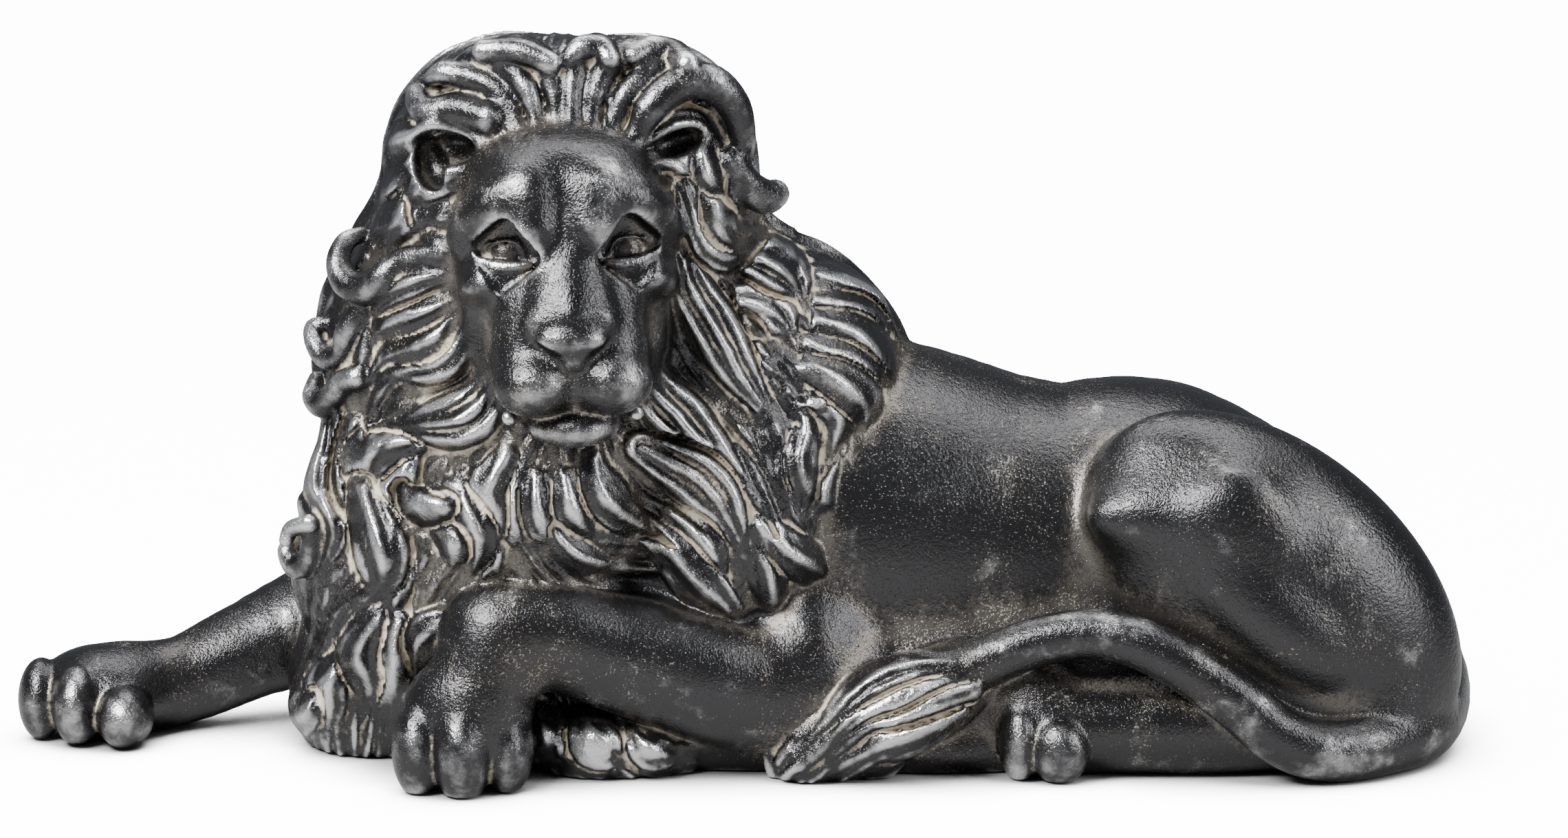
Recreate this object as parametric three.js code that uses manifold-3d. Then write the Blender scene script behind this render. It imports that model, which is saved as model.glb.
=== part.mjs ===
// A cast iron lion, lying down with its head turned to the viewer. It is one casting.
// The form is sculpted as a field: rounded masses melt together, locks of hair are carved on the mane
// as a relief, and the skin where the field is zero becomes the solid.
// Sizes are in millimetres. Pose and carving are shares: hundredths of the lion's length.
// +X runs from the stretched forepaw to the rump, the viewer stands at -Y, +Z is up.

import * as THREE from "three";
import { triTable } from "three/addons/objects/MarchingCubes.js";
import { mergeVertices } from "three/addons/utils/BufferGeometryUtils.js";
import Module from "manifold-3d";

const LENGTH = 680; // forepaw to rump
const SKIN_STEP = 3.1; // spacing of the field's samples
const SKIN_TRIANGLES = 9800; // the solid's skin is thinned to this many
const GROUND_SLICE = 4; // metal below the ground plane, which is cut away flat

const SHARE = LENGTH / 100;
const FIELD_LOW = [-3, -30, -1.2];
const FIELD_HIGH = [104, 19, 55];
const FAR = 4; // shares: the field's value away from every mass

// The relief is drawn as it is seen from the front, from a little above.
const DRAWN_FROM = { rise: 10, away: 350, aim: [52.7, -5, 22.6], up: 24.25 };
const RELIEF_LOW = [12, -3];
const RELIEF_HIGH = [70, 56];
const RELIEF_STEP = 0.25;
const RELIEF_REACH = 3; // how deep under and over the mane's skin the relief is felt
const FRONT_OF = 2; // the drawn relief is on this side of y, plain strands behind it
const FRONT_FADE = 4;
const TURNED_FROM = 0.35; // and plain strands where the skin faces the viewer less than this
const TURNED_FADE = 0.25;

const FACED_AWAY = 0.35; // what is left of the drawn relief on a skin turned away from the viewer

const LOCK_SWELL = 1.45; // lock half widths are drawn times this
const LOCK_RISE = 1.15; // a lock's height over its half width
const LOCK_SUNK = 0.35; // how much of a lower lock shows in the crease beside an upper one
const STRAND_DEPTH = 0.28;
const FAN_GAP = 1.45; // spacing of a fan's locks over their half width
const HAIR_BASE = 0.3; // height of the hair between the locks

// The plain strands spread from the crown and fall all round.
const STRANDS = { crown: [38.5, -2.5], count: 32, wave: 0.8, wavelength: 9, height: 0.9, crownRadius: 5 };

const HEAD = { at: [37.6, -11, 37.2], turn: [4, -1.2, 6] };

// Limbs are rows of x, y, z, radius. Eggs are a centre, three radii and a turn in degrees; with a power
// over 2 they are squarer.
const BODY = [
  { limb: [[46, 0, 15.5, 14.3], [58, 0, 14.5, 13.3], [66, 0, 13.2, 12.2], [72, 0, 12.6, 11.7],
    [77.5, 0, 12.8, 12], [84, 0, 9.4, 11.4], [88.5, 0.5, 5.5, 9.6]], narrow: 0.95, blend: 1.5 },
  { limb: [[34, -4, 4.5, 8], [48, -4, 4.5, 10], [64, -3, 4, 11], [80, -2, 4, 11.5]], blend: 1.5 }, // belly
  { egg: [[86, -9.2, 11.8], [15.2, 6.8, 9.6], [0, 42, 0]], blend: 0.8 }, // near haunch
  { egg: [[85.5, 7.6, 9.3], [14.6, 6.8, 9], [0, 42, 0]], blend: 0.8 }, // far haunch
  { egg: [[77.5, -12.9, 17.6], [4, 1.5, 1.5]], blend: 3 },
  { egg: [[83.2, -14.3, 16.8], [2.6, 1.4, 3.6]], blend: 3 },
  { egg: [[86, -15, 10.5], [4.5, 1.6, 2], [0, 38, 0]], blend: 2 },
  { egg: [[54, -9.8, 7], [5, 6, 6.5]], blend: 2 }, // elbow
  { limb: [[54, -11.3, 5, 4.6], [47, -13.3, 6.9, 4.5], [41, -14.6, 8.8, 4], [36.8, -15.6, 10.2, 3.8],
    [33.6, -15.9, 10, 3.8]], blend: 1.2 },
  { limb: [[33.6, -15.9, 10, 3.8], [32.6, -17, 7, 3.5], [31.8, -17.2, 4.4, 3.7]], blend: 1.2 },
  { limb: [[40, 8, 14, 8], [30, 7.4, 9.8, 5.8], [22, 5.4, 7.4, 4.5], [15, 2.8, 5, 3.5], [10.5, 0.8, 3.3, 3.1],
    [7, -0.8, 3, 3.2]], blend: 1.5 }, // stretched foreleg
  { egg: [[5, -1.8, 3], [4.8, 4.4, 3.3]], blend: 1 },
  { limb: [[93, -10.5, 4.3, 4.2], [84, -12.2, 3.2, 3.5], [75, -12.7, 3.2, 3.3],
    [70.5, -13, 3.2, 3.2]], blend: 0.8 },
  { egg: [[69.5, -12.4, 4.6], [4, 3, 3.4], [0, 20, 0]], blend: 0.8 }, // hind foot
  { limb: [[95.5, 6, 7.5, 3.4], [97.6, -1, 3.8, 3], [96.4, -9, 2.5, 2.6], [93, -13.6, 2.2, 2.3],
    [89.2, -15.8, 2.1, 2.1], [86, -16.3, 3.2, 2], [82.8, -16.3, 5.8, 1.9], [78.5, -15.9, 8.6, 1.8],
    [74.2, -15.4, 10, 1.7], [69.9, -15, 9.5, 1.7], [65.6, -14.8, 7.8, 1.8], [62, -14.8, 6.1, 2.2]],
    blend: 0.5 }, // tail
  { egg: [[31.3, -17, 5.2], [4.2, 3.4, 3.8]], blend: 1 }, // near paw
  { egg: [[63, -10.8, 1.5], [7, 3.6, 2.4]], blend: 1 },
];

const MANE = [
  { egg: [[38.05, -5, 38.3], [12.5, 9.8, 11.2]], power: 2.8, blend: 3 },
  { egg: [[36.8, -3, 27], [15.9, 12, 14.6]], blend: 3 },
  { egg: [[49.9, -1, 23.3], [11.4, 12.2, 11.6]], blend: 3 },
  { egg: [[32, -5, 12.5], [12.6, 10.4, 13.4]], blend: 3 },
  { egg: [[36, -9, 20], [9.4, 8.6, 11.6]], blend: 3 },
  { egg: [[49.5, -8, 16.5], [6.6, 7.4, 8.6]], blend: 3 },
  { egg: [[24.3, -4, 3.5], [5.6, 6.4, 5.4]], blend: 2 }, // between the forelegs
  { egg: [[41, -10.5, 1.6], [7.2, 5, 3.2]], blend: 1 }, // under the forearm
  { cut: true, egg: [[37.1, -6, 51.2], [0.9, 9, 1.8]], blend: 0.8 }, // parting
  { egg: [[58.8, -15, 4.6], [6, 2.4, 3.8], [0, -25, 0]], blend: 0.8 }, // tuft
];
const MANE_BLEND = 0.3;

const TOES = [
  [[7, -5.8, 2.1], [2, 2.6, 2.2]], [[3.6, -4.8, 2.7], [1.8, 2.8, 2.8]], [[0.8, -2.8, 2.7], [1.6, 2.6, 2.9]],
  [[31.2, -19.2, 2.9], [2.1, 2.7, 3.5]], [[28.2, -18.2, 2.8], [1.8, 2.6, 3.3]], [[34.1, -18, 2.7],
    [1.8, 2.6, 3]],
  [[71.2, -15.3, 2.1], [2.1, 2.3, 2.4]], [[68.6, -14.6, 2.4], [1.5, 2.2, 2.7]],
];
const TOE_BLEND = 0.35;

// A lock: across, up and heading where it starts, the same where it ends, half width and wave.
// Two locks are the first and last of a fan.
const LOCKS = [
  // rear edge, right
  [[54.5, 34.5, -5, 60.5, 26.1, -105, 0.81, 0], { ease: 0.55 }],
  [[54.6, 32.6, 0, 60.8, 25.1, -60, 0.73, 0], { ease: 0.6 }],
  [[54.5, 31.3, -5, 59.7, 22.9, -85, 0.85, 0], { ease: 0.55 }],
  [[54.4, 29.7, -20, 59.1, 23.4, -95, 0.77, 0], { ease: 0.55 }],
  [[56.8, 22.6, -90, 57.6, 18, -70, 0.54, 0.27], { strands: 1 }],
  [[56.2, 21.5, -110, 56.9, 15.8, -60, 0.69, -0.31]],
  [[54.2, 25.3, 30, 55.3, 20.5, 245, 0.85, 0], { ease: 0.75 }],
  [[54.1, 24.6, -80, 55.2, 16.9, -40, 0.73, -0.42]],
  [[54.3, 28.1, -20, 57, 22.1, 225, 1, 0], { ease: 0.6 }],
  // right, beside the cheek
  [[46.6, 35.5, -88, 53.5, 23.9, -75, 1, 0.19], { ease: 0.5 }],
  [[48.5, 32.6, 0, 53.7, 28.6, -75, 1.08, 0], { ease: 0.5, strands: 3 }],
  [[49.3, 36.1, -15, 54.4, 31, -75, 1.19, 0], { ease: 0.5, strands: 3 }],
  [[47.9, 33.2, -95, 54.1, 26.2, -45, 1.19, 0], { ease: 0.55, strands: 3 }],
  [[45.6, 36.3, -88, 52.2, 21.2, -95, 1.19, 0.5], { strands: 3 }],
  [[49.9, 31.7, -50, 52.4, 29.9, -10, 0.42, 0], { strands: 1 }],
  // right, low
  [[51, 15.7, -70, 53.9, 9.1, -45, 0.65, 0.19]],
  [[51.2, 17.2, -50, 54.5, 11.8, 200, 0.96, 0], { ease: 0.8 }],
  [[42.6, 28.8, -75, 51.7, 16.3, -80, 1.27, 0.5], { strands: 3 }],
  [[42.8, 22.6, -30, 50, 13, -92, 1.27, 0.23], { strands: 3 }],
  [[44.9, 18, -35, 48.4, 11.1, -85, 0.85, 0]],
  [[43.3, 16.7, -25, 52.6, 9, 0, 1, -0.5], { ease: 0.45 }],
  // throat and chest
  [[34, 20.5, -95, 35.5, 14.7, -50, 0.86, 0]],
  [[35.5, 20.5, -90, 38, 15.5, -20, 0.81, 0]],
  [[37.7, 20.5, -85, 40.9, 16.1, -15, 0.86, 0]],
  [[37, 16.8, -60, 42.5, 14.7, 5, 0.66, 0]],
  [[39.5, 21.6, -80, 45.1, 15.7, -35, 0.96, 0]],
  [[31.9, 20.8, -110, 30.2, 10.7, -125, 0.96, -0.66], { strands: 2 }],
  [[33.5, 22.1, -115, 31.9, 13.5, -95, 0.91, -0.51]],
  [[29.9, 19.8, -60, 30, 11.5, -115, 0.86, 0], { ease: 0.6 }],
  // left, low
  [[21.1, 24.6, -95, 20.4, 11.8, -95, 1.31, -0.91], { strands: 3 }],
  [[23, 24.1, -95, 23.2, 16, -75, 0.91, 0.2]],
  [[28.7, 17.3, -40, 28.9, 13.1, -130, 0.71, 0], { ease: 0.6, strands: 1 }],
  [[26.5, 21.8, -105, 26.1, 8.1, -70, 1.16, -1.11], { strands: 2 }],
  [[27, 23.1, 185, 24.1, 17.3, -75, 1.11, 0], { ease: 0.6 }],
  [[23.5, 19.8, -75, 22, 11.3, -160, 1.16, 0], { ease: 0.62, strands: 2 }],
  [[26.3, 19.7, -60, 28.5, 19.6, 165, 0.81, 0], { ease: 1.25, tip: 0.5, strands: 1 }],
  // between the forelegs
  [[22.3, 7.9, -120, 21.3, 1.9, -80, 0.96, -0.3]],
  [[26.1, 10.4, -110, 25.4, 2.1, -110, 1.06, 0.3]],
  [[24.5, 10.7, -115, 23.5, 2.9, -95, 0.91, -0.51]],
  [[20.1, 5.4, -120, 19.3, 2.1, -80, 0.86, 0]],
  [[30.9, 10.6, 190, 27.5, 5.5, -80, 0.96, 0], { ease: 0.6 }],
  [[35.5, 4.9, -60, 37.5, 0.7, -20, 1.11, 0]],
  [[39, 3.9, -80, 42, 0.7, -30, 1.11, 0]],
  [[42.5, 2.9, -60, 46.3, 1.4, -5, 0.91, 0]],
  // left, beside the cheek
  [[27.7, 41.3, 205, 24.6, 39.3, -110, 0.57, 0]],
  [[26.3, 41.3, 230, 24.4, 37.9, -105, 0.59, 0]],
  [[26.8, 39.7, 240, 24.6, 35.5, -110, 0.79, 0]],
  [[29.8, 36.7, 180, 26.8, 36.5, 190, 0.48, 0], { strands: 1 }],
  [[30.7, 38.5, 190, 27.5, 37.8, 215, 0.57, 0]],
  [[31.4, 41.7, 200, 27, 37.7, -80, 0.76, 0], { ease: 0.55 }],
  [[23.7, 32.4, -120, 22.7, 27.8, -95, 0.62, 0]],
  [[32.6, 27.3, -110, 23.9, 23.7, 195, 1.3, 0], { ease: 0.5, strands: 3 }],
  [[30.4, 31.2, -100, 23.8, 26.7, 215, 1.07, 0], { ease: 0.5, strands: 3 }],
  [[29.8, 31.8, -120, 23.6, 27.4, 225, 0.82, 0], { ease: 0.5 }],
  [[29.5, 32.5, 200, 23.5, 28.3, -110, 0.79, 0], { ease: 0.5 }],
  [[29.1, 34.5, 190, 23.5, 29.4, -100, 0.88, 0], { ease: 0.5, strands: 3 }],
  [[24, 31.4, -105, 23.8, 23.3, -85, 0.45, 0.08]],
  // crest
  [[32.8, 44.6, 125, 29.7, 48.2, 190, 0.67, 0], { ease: 0.5 }],
  [[33.3, 44.7, 120, 28.1, 47.3, 250, 0.63, 0], { ease: 0.8 }],
  [[34.1, 44.7, 112, 27.9, 47.8, 240, 0.78, 0], { ease: 0.65, strands: 3 }],
  [[35.4, 44.6, 105, 29.7, 49.2, 215, 0.93, 0], { ease: 0.5, strands: 3 }],
  [[37.1, 44.6, 95, 31.9, 50.9, 185, 1.12, 0], { ease: 0.55, strands: 3 }],
  [[39.2, 44.6, 90, 42.2, 50, 0, 0.86, 0], { ease: 0.55 }],
  [[38.2, 44.6, 92, 40.5, 50.9, 0, 0.86, 0], { ease: 0.6, strands: 2 }],
  [[40.2, 44.7, 90, 45.8, 50.2, -30, 0.93, 0], { ease: 0.55 }],
  [[41.6, 44.2, 90, 47.5, 48.8, -20, 0.75, 0], { ease: 0.55 }],
  [[42.2, 43.3, 75, 50.3, 42.4, -75, 1.45, 0], { ease: 0.72, strands: 3 }],
  [[42.2, 43.1, 60, 48.5, 42.3, -80, 0.75, 0], { ease: 0.6 }],
  [[42, 42.8, 45, 47.7, 41.4, -75, 0.63, 0], { ease: 0.65, strands: 1 }],
  [[42.2, 42.5, 0, 46.8, 39.2, -85, 0.97, 0], { ease: 0.55 }],
  [[42.7, 41.6, 5, 45.4, 37.1, -80, 0.86, 0], { ease: 0.55 }],
  [[48.6, 41.6, -75, 52.2, 39.2, 20, 0.75, 0], { ease: 0.6 }],
  [[47.7, 41, -85, 52.2, 38.1, 30, 0.82, 0], { ease: 0.65 }],
  [[46.8, 39.9, -85, 51.9, 37.6, 35, 0.86, 0], { ease: 0.75 }],
  // tail tuft
  [[64, 6.6, 195, 53.2, 0.9, 235, 0.75, -0.3], [63.6, 3.4, 200, 57.5, 0.6, 200, 0.7, -0.3], { ease: 0.5 }],
];

// Curls that stand out of the mane's outline: rows of across, up, radius.
const CURLS = [
  [[29.5, 36, 0.9], [27.7, 35.7, 0.9], [26.3, 35.2, 1], [25.1, 34.2, 1.1], [23.9, 33.5, 1.15],
    [22.6, 33.9, 1.05],
    [22, 35.3, 0.85], [22.5, 36.7, 0.7], [23.6, 37.2, 0.55]],
  [[23.6, 31.9, 0.9], [22.6, 30.4, 0.9], [22.3, 29, 0.8], [21.2, 28.7, 0.8], [20.4, 29.7, 0.7],
    [20.3, 30.8, 0.65],
    [21.2, 31.1, 0.5]],
  [[23.3, 27.4, 0.8], [22.5, 27.1, 0.9], [21.8, 26.3, 0.95], [21, 25.5, 0.95], [20.4, 26.1, 0.9],
    [20.6, 27.2, 0.7]],
  [[20.3, 17.3, 0.8], [20.1, 15.1, 0.9], [19.1, 14.4, 0.85], [18.5, 15.5, 0.7], [19.1, 16.1, 0.5]],
  [[20, 17.4, 0.6], [18.8, 17, 0.6], [18.4, 16.2, 0.5]],
  [[32.3, 45.2, 1.1], [30.4, 45.8, 1.2], [28.8, 45.6, 1.1], [27.9, 45.8, 1], [27.5, 46.7, 0.9],
    [28.3, 47.3, 0.7]],
  [[49, 42.3, 1], [50, 40.6, 1.2], [51.3, 39.8, 1.2], [52, 40, 1]],
  [[36.5, 49, 0.8], [34.5, 49.8, 0.9], [32, 49.8, 0.8]],
  [[37.8, 49.2, 0.7], [38.8, 50, 0.9], [40, 50, 0.9], [40.6, 49.3, 0.7]],
  [[42.3, 49.5, 0.7], [43.6, 49.9, 1], [45.1, 49.6, 1], [46, 48.9, 0.8]],
];
const CURL_BLEND = 0.3;
const CURL_DEEPENS = 1.2; // how much further back a row may lie than the one before it

// An ear's hollow: across, up, radii, tilt.
const EARS = [[28.9, 42.9, [2.1, 2.4, 1.45], -6], [46.5, 42.4, [1.5, 2, 1.9], 20]];
const EAR_BLEND = 0.35;

// The face, in the head's own axes: x right, y back, z up. A pair is made on both sides.
const FACE = [
  { egg: [[0, -1.8, -0.5], [7.3, 7.4, 7.6]], blend: 0.8 },
  { egg: [[0, -4.6, 2.4], [6.4, 4.5, 4.7]], power: 2.3, blend: 1.5 }, // forehead
  { egg: [[0, -3.2, -4.5], [6.9, 6.3, 8.1]], power: 2.6, blend: 1.5 },
  { egg: [[0, -6.6, -6.8], [5, 5.2, 5.8]], power: 2.4, blend: 1.2 }, // muzzle
  { pair: true, egg: [[5.1, -5.6, -2.5], [2.1, 2.5, 1.9]], blend: 1.5 }, // cheekbone
  { limb: [[-0.2, -7.2, 1, 2], [-0.1, -8.2, -1.6, 2.4], [0, -9.4, -4.6, 2.9]], blend: 1.2 },
  { pair: true, limb: [[0.1, -8.7, 1.2, 1], [0.4, -9.5, -0.6, 1], [0.8, -10.4, -2.4, 1.15],
    [1.1, -11.5, -4.3, 1.15]],
    blend: 0.7 }, // bridge of the nose
  { pair: true, egg: [[2.4, -9.9, -8.3], [2.5, 2.5, 2.2], [0, 8, 0]], blend: 0.8 }, // whisker pads
  { pair: true, limb: [[2.8, -8.2, 3.4, 1.5], [4.1, -8, 3, 1.5], [5.4, -6.8, 2.2, 1.4], [6.6, -4.6, 1, 1.2]],
    blend: 1.2 }, // brow
  { limb: [[1.9, -7.6, 3.4, 2.1], [1.5, -8.7, 1.6, 1.7], [1.2, -10.1, -0.3, 0.5]], blend: 0.5 }, // frown
  { limb: [[-2.6, -7.6, 3.4, 2.1], [-2.3, -8.7, 1.5, 1.7], [-2, -10.1, -0.8, 0.5]], blend: 0.5 },
  { pair: true, cut: true, limb: [[2.5, -9.8, -0.4, 0.6], [3.5, -9.7, 1.7, 0.8], [4.7, -9.2, 1.1, 0.9],
    [6.1, -7.9, 0.1, 0.6]], blend: 0.15 }, // eye sockets
  { pair: true, cut: true, limb: [[2.7, -9.7, -0.4, 0.6], [4, -9.7, 0.3, 1.2],
    [5.9, -8.2, -0.1, 0.6]], blend: 0.2 },
  { pair: true, egg: [[4, -7.5, -0.1], [1.35, 1.2, 1]], blend: 0.1 },
  { pair: true, cut: true, egg: [[3.95, -8.75, 0], [0.34, 0.3, 0.34]], blend: 0.1 },
  { pair: true, limb: [[2.5, -8.9, -0.8, 0.2], [3.2, -8.8, 0.5, 0.28], [4.4, -8.5, 0.8, 0.3],
    [5.8, -7.4, 0.1, 0.22]],
    blend: 0.1 }, // eyelids
  { pair: true, limb: [[2.5, -8.9, -0.8, 0.25], [3.5, -8.9, -1.15, 0.36], [4.7, -8.4, -1.05, 0.36],
    [6, -7.3, -0.2, 0.25]],
    blend: 0.1 },
  { pair: true, cut: true, limb: [[2.4, -9.6, -1.8, 0.3], [3.7, -9.4, -2.1, 0.4],
    [5.2, -8.6, -1.9, 0.25]], blend: 0.3 },
  { cut: true, limb: [[-0.5, -9.7, 4, 0.2], [-0.45, -10.3, 2.2, 0.45], [-0.4, -10.3, 0.2, 0.35]], blend: 0.5 },
  { egg: [[-0.15, -12, -5.2], [2.35, 1.3, 1.15]], blend: 0.3 }, // nose
  { egg: [[0, -12.3, -6.2], [1.2, 0.9, 1.1]], blend: 0.3 },
  { pair: true, cut: true, limb: [[0.6, -13.5, -6.2, 0.2], [1.4, -13.3, -5.8, 0.42],
    [2.2, -12.4, -5.3, 0.3]], blend: 0.15 },
  { cut: true, limb: [[0, -12.9, -7.1, 0.25], [0.1, -12.8, -8.4, 0.35], [0.1, -12, -9.7, 0.35]], blend: 0.3 },
  { egg: [[0.1, -8.4, -11.5], [3.2, 2.9, 1.6]], blend: 0.4 }, // chin
  { pair: true, cut: true, limb: [[0.1, -12.3, -9.7, 0.4], [2.2, -11.9, -10.6, 0.45], [3.5, -10.4, -10.9, 0.4],
    [4.5, -8.3, -11, 0.35]], blend: 0.2 }, // mouth
  { pair: true, egg: [[4.1, -8.9, -11.1], [0.5, 0.5, 0.5]], blend: 0.1 },
];

const clamp = THREE.MathUtils.clamp;
const mm = (values) => values.map((value) => value * SHARE);

function turnOf(turn = [0, 0, 0]) {
  const angles = turn.map(THREE.MathUtils.degToRad);
  return new THREE.Matrix4().makeRotationFromEuler(new THREE.Euler(...angles, "ZYX"));
}

const headFrame = turnOf(HEAD.turn).setPosition(...mm(HEAD.at));

// An ellipsoid mass, or a squarer one.
class Egg {
  constructor([centre, radii, turn], frame = new THREE.Matrix4(), power = 2) {
    this.power = power;
    this.place = turnOf(turn).setPosition(...mm(centre)).premultiply(frame);
    this.inverse = this.place.clone().invert().elements;
    this.radii = mm(radii);
    const e = this.place.elements;
    const half = [0, 1, 2].map((i) => {
      const reach = this.radii.map((r, j) => Math.abs(e[i + 4 * j] * r));
      return power > 2 ? reach[0] + reach[1] + reach[2] : Math.hypot(...reach);
    });
    this.low = half.map((h, i) => e[12 + i] - h);
    this.high = half.map((h, i) => e[12 + i] + h);
  }

  distance(x, y, z) {
    const e = this.inverse;
    let near = 0;
    let far = 0;
    for (let i = 0; i < 3; i++) {
      const q = Math.abs(e[i] * x + e[i + 4] * y + e[i + 8] * z + e[i + 12]) / this.radii[i] + 1e-6;
      near += q ** this.power;
      far += (q ** (this.power - 1) / this.radii[i]) ** 2;
    }
    near **= 1 / this.power;
    return ((near - 1) * near ** (this.power - 1)) / Math.sqrt(far);
  }
}

// A tapering limb along a smooth line of points, each with its radius.
class Limb {
  constructor(rows, { frame = new THREE.Matrix4(), narrow = 1, steps = 4 } = {}) {
    const points = rows.map((row) => new THREE.Vector3(...mm(row.slice(0, 3))).applyMatrix4(frame));
    const line = new THREE.CatmullRomCurve3(points, false, "catmullrom", 0.5);
    const count = (rows.length - 1) * steps;
    this.narrow = narrow;
    this.line = [];
    this.low = [Infinity, Infinity, Infinity];
    this.high = [-Infinity, -Infinity, -Infinity];
    for (let i = 0; i <= count; i++) {
      const at = Math.min(Math.floor(i / steps), rows.length - 2);
      const radius = SHARE * THREE.MathUtils.lerp(rows[at][3], rows[at + 1][3], i / steps - at);
      const p = line.getPoint(i / count).toArray();
      this.line.push([p[0], p[1] / narrow, p[2], radius]);
      p.forEach((value, axis) => {
        this.low[axis] = Math.min(this.low[axis], value - radius);
        this.high[axis] = Math.max(this.high[axis], value + radius);
      });
    }
  }

  distance(x, yWide, z) {
    const y = yWide / this.narrow;
    let best = Infinity;
    for (let i = 0; i + 1 < this.line.length; i++) {
      const [ax, ay, az, ar] = this.line[i];
      const [bx, by, bz, br] = this.line[i + 1];
      const ex = bx - ax;
      const ey = by - ay;
      const ez = bz - az;
      const along = ((x - ax) * ex + (y - ay) * ey + (z - az) * ez) / (ex * ex + ey * ey + ez * ez);
      const t = clamp(along, 0, 1);
      const d = Math.hypot(x - ax - t * ex, y - ay - t * ey, z - az - t * ez) - (ar + (br - ar) * t);
      if (d < best) best = d;
    }
    return best * this.narrow;
  }
}

function smoothMin(a, b, blend) {
  const near = Math.max(blend - Math.abs(a - b), 0) / blend;
  return Math.min(a, b) - (near * near * blend) / 4;
}

// The field: values on a grid, negative inside the metal.
class Clay {
  constructor(low, high, step) {
    this.low = mm(low);
    this.step = step;
    this.size = mm(high).map((value, axis) => Math.ceil((value - this.low[axis]) / step) + 1);
    this.value = new Float32Array(this.size[0] * this.size[1] * this.size[2]).fill(FAR * SHARE);
  }

  // Calls change(value, x, y, z, at) for each sample in a box and keeps what it returns.
  each(low, high, change) {
    const from = low.map((v, i) => Math.max(Math.floor((v - this.low[i]) / this.step), 0));
    const to = high.map((v, i) => Math.min(Math.ceil((v - this.low[i]) / this.step), this.size[i] - 1));
    for (let k = from[2]; k <= to[2]; k++) {
      for (let j = from[1]; j <= to[1]; j++) {
        let at = (k * this.size[1] + j) * this.size[0] + from[0];
        for (let i = from[0]; i <= to[0]; i++, at++) {
          this.value[at] = change(
            this.value[at], this.low[0] + i * this.step, this.low[1] + j * this.step, this.low[2] + k * this.step, at,
          );
        }
      }
    }
  }

  merge(part, blendShares, cut = false) {
    const blend = blendShares * SHARE;
    const pad = Math.max(blend, SHARE) + this.step;
    const sign = cut ? -1 : 1;
    this.each(
      part.low.map((v) => v - pad),
      part.high.map((v) => v + pad),
      (value, x, y, z) => sign * smoothMin(sign * value, part.distance(x, y, z), blend),
    );
  }

  sample(x, y, z) {
    const p = [x, y, z].map((v, i) => clamp((v - this.low[i]) / this.step, 0, this.size[i] - 1.001));
    const c = p.map(Math.floor);
    const t = p.map((v, i) => v - c[i]);
    let sum = 0;
    for (let n = 0; n < 8; n++) {
      const o = [n & 1, (n >> 1) & 1, n >> 2];
      const weight = o.reduce((w, one, i) => w * (one ? t[i] : 1 - t[i]), 1);
      sum += weight * this.value[((c[2] + o[2]) * this.size[1] + c[1] + o[1]) * this.size[0] + c[0] + o[0]];
    }
    return sum;
  }
}

// Builds each listed mass, mirrored in the head's middle plane where it is a pair.
function sculpt(clay, masses, frame) {
  const mirrored = ([x, ...rest], side) => [side * x, ...rest];
  for (const { egg, limb, pair, cut, narrow, power, blend } of masses) {
    for (const side of pair ? [-1, 1] : [1]) {
      const part = egg
        ? new Egg([mirrored(egg[0], side), egg[1], (egg[2] ?? [0, 0, 0]).map((a) => side * a)], frame, power)
        : new Limb(limb.map((row) => mirrored(row, side)), { frame, narrow });
      clay.merge(part, blend, cut);
    }
  }
}

// The viewpoint that the relief and the curls are drawn from.
const rise = THREE.MathUtils.degToRad(DRAWN_FROM.rise);
const toViewer = new THREE.Vector3(0, -Math.cos(rise), Math.sin(rise));
const sheetUp = new THREE.Vector3(0, Math.sin(rise), Math.cos(rise));
const aim = new THREE.Vector3(...mm(DRAWN_FROM.aim));
const eye = aim.clone().addScaledVector(toViewer, DRAWN_FROM.away * SHARE);

// Where a point shows on the drawing, in shares.
function drawnAt(x, y, z) {
  const [dx, dy, dz] = [x - eye.x, y - eye.y, z - eye.z];
  const scale = DRAWN_FROM.away / -(dy * toViewer.y + dz * toViewer.z);
  return [DRAWN_FROM.aim[0] + dx * scale, DRAWN_FROM.up + (dy * sheetUp.y + dz * sheetUp.z) * scale];
}

// The point of the skin that shows at a place on the drawing, or the nearest miss.
function onSkin(clay, across, up, until) {
  const start = aim.clone()
    .addScaledVector(sheetUp, (up - DRAWN_FROM.up) * SHARE)
    .add(new THREE.Vector3((across - DRAWN_FROM.aim[0]) * SHARE, 0, 0));
  const way = start.clone().sub(eye).normalize();
  const p = start.addScaledVector(way, FIELD_LOW[1] * 1.5 * SHARE);
  let best = { miss: Infinity, point: p.clone() };
  while (p.y < until) {
    const miss = clay.sample(p.x, p.y, p.z);
    if (miss < best.miss) best = { miss, point: p.clone() };
    if (miss <= 0) break;
    p.addScaledVector(way, Math.max(miss * 0.7, SHARE / 20));
  }
  return best.point;
}

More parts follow.
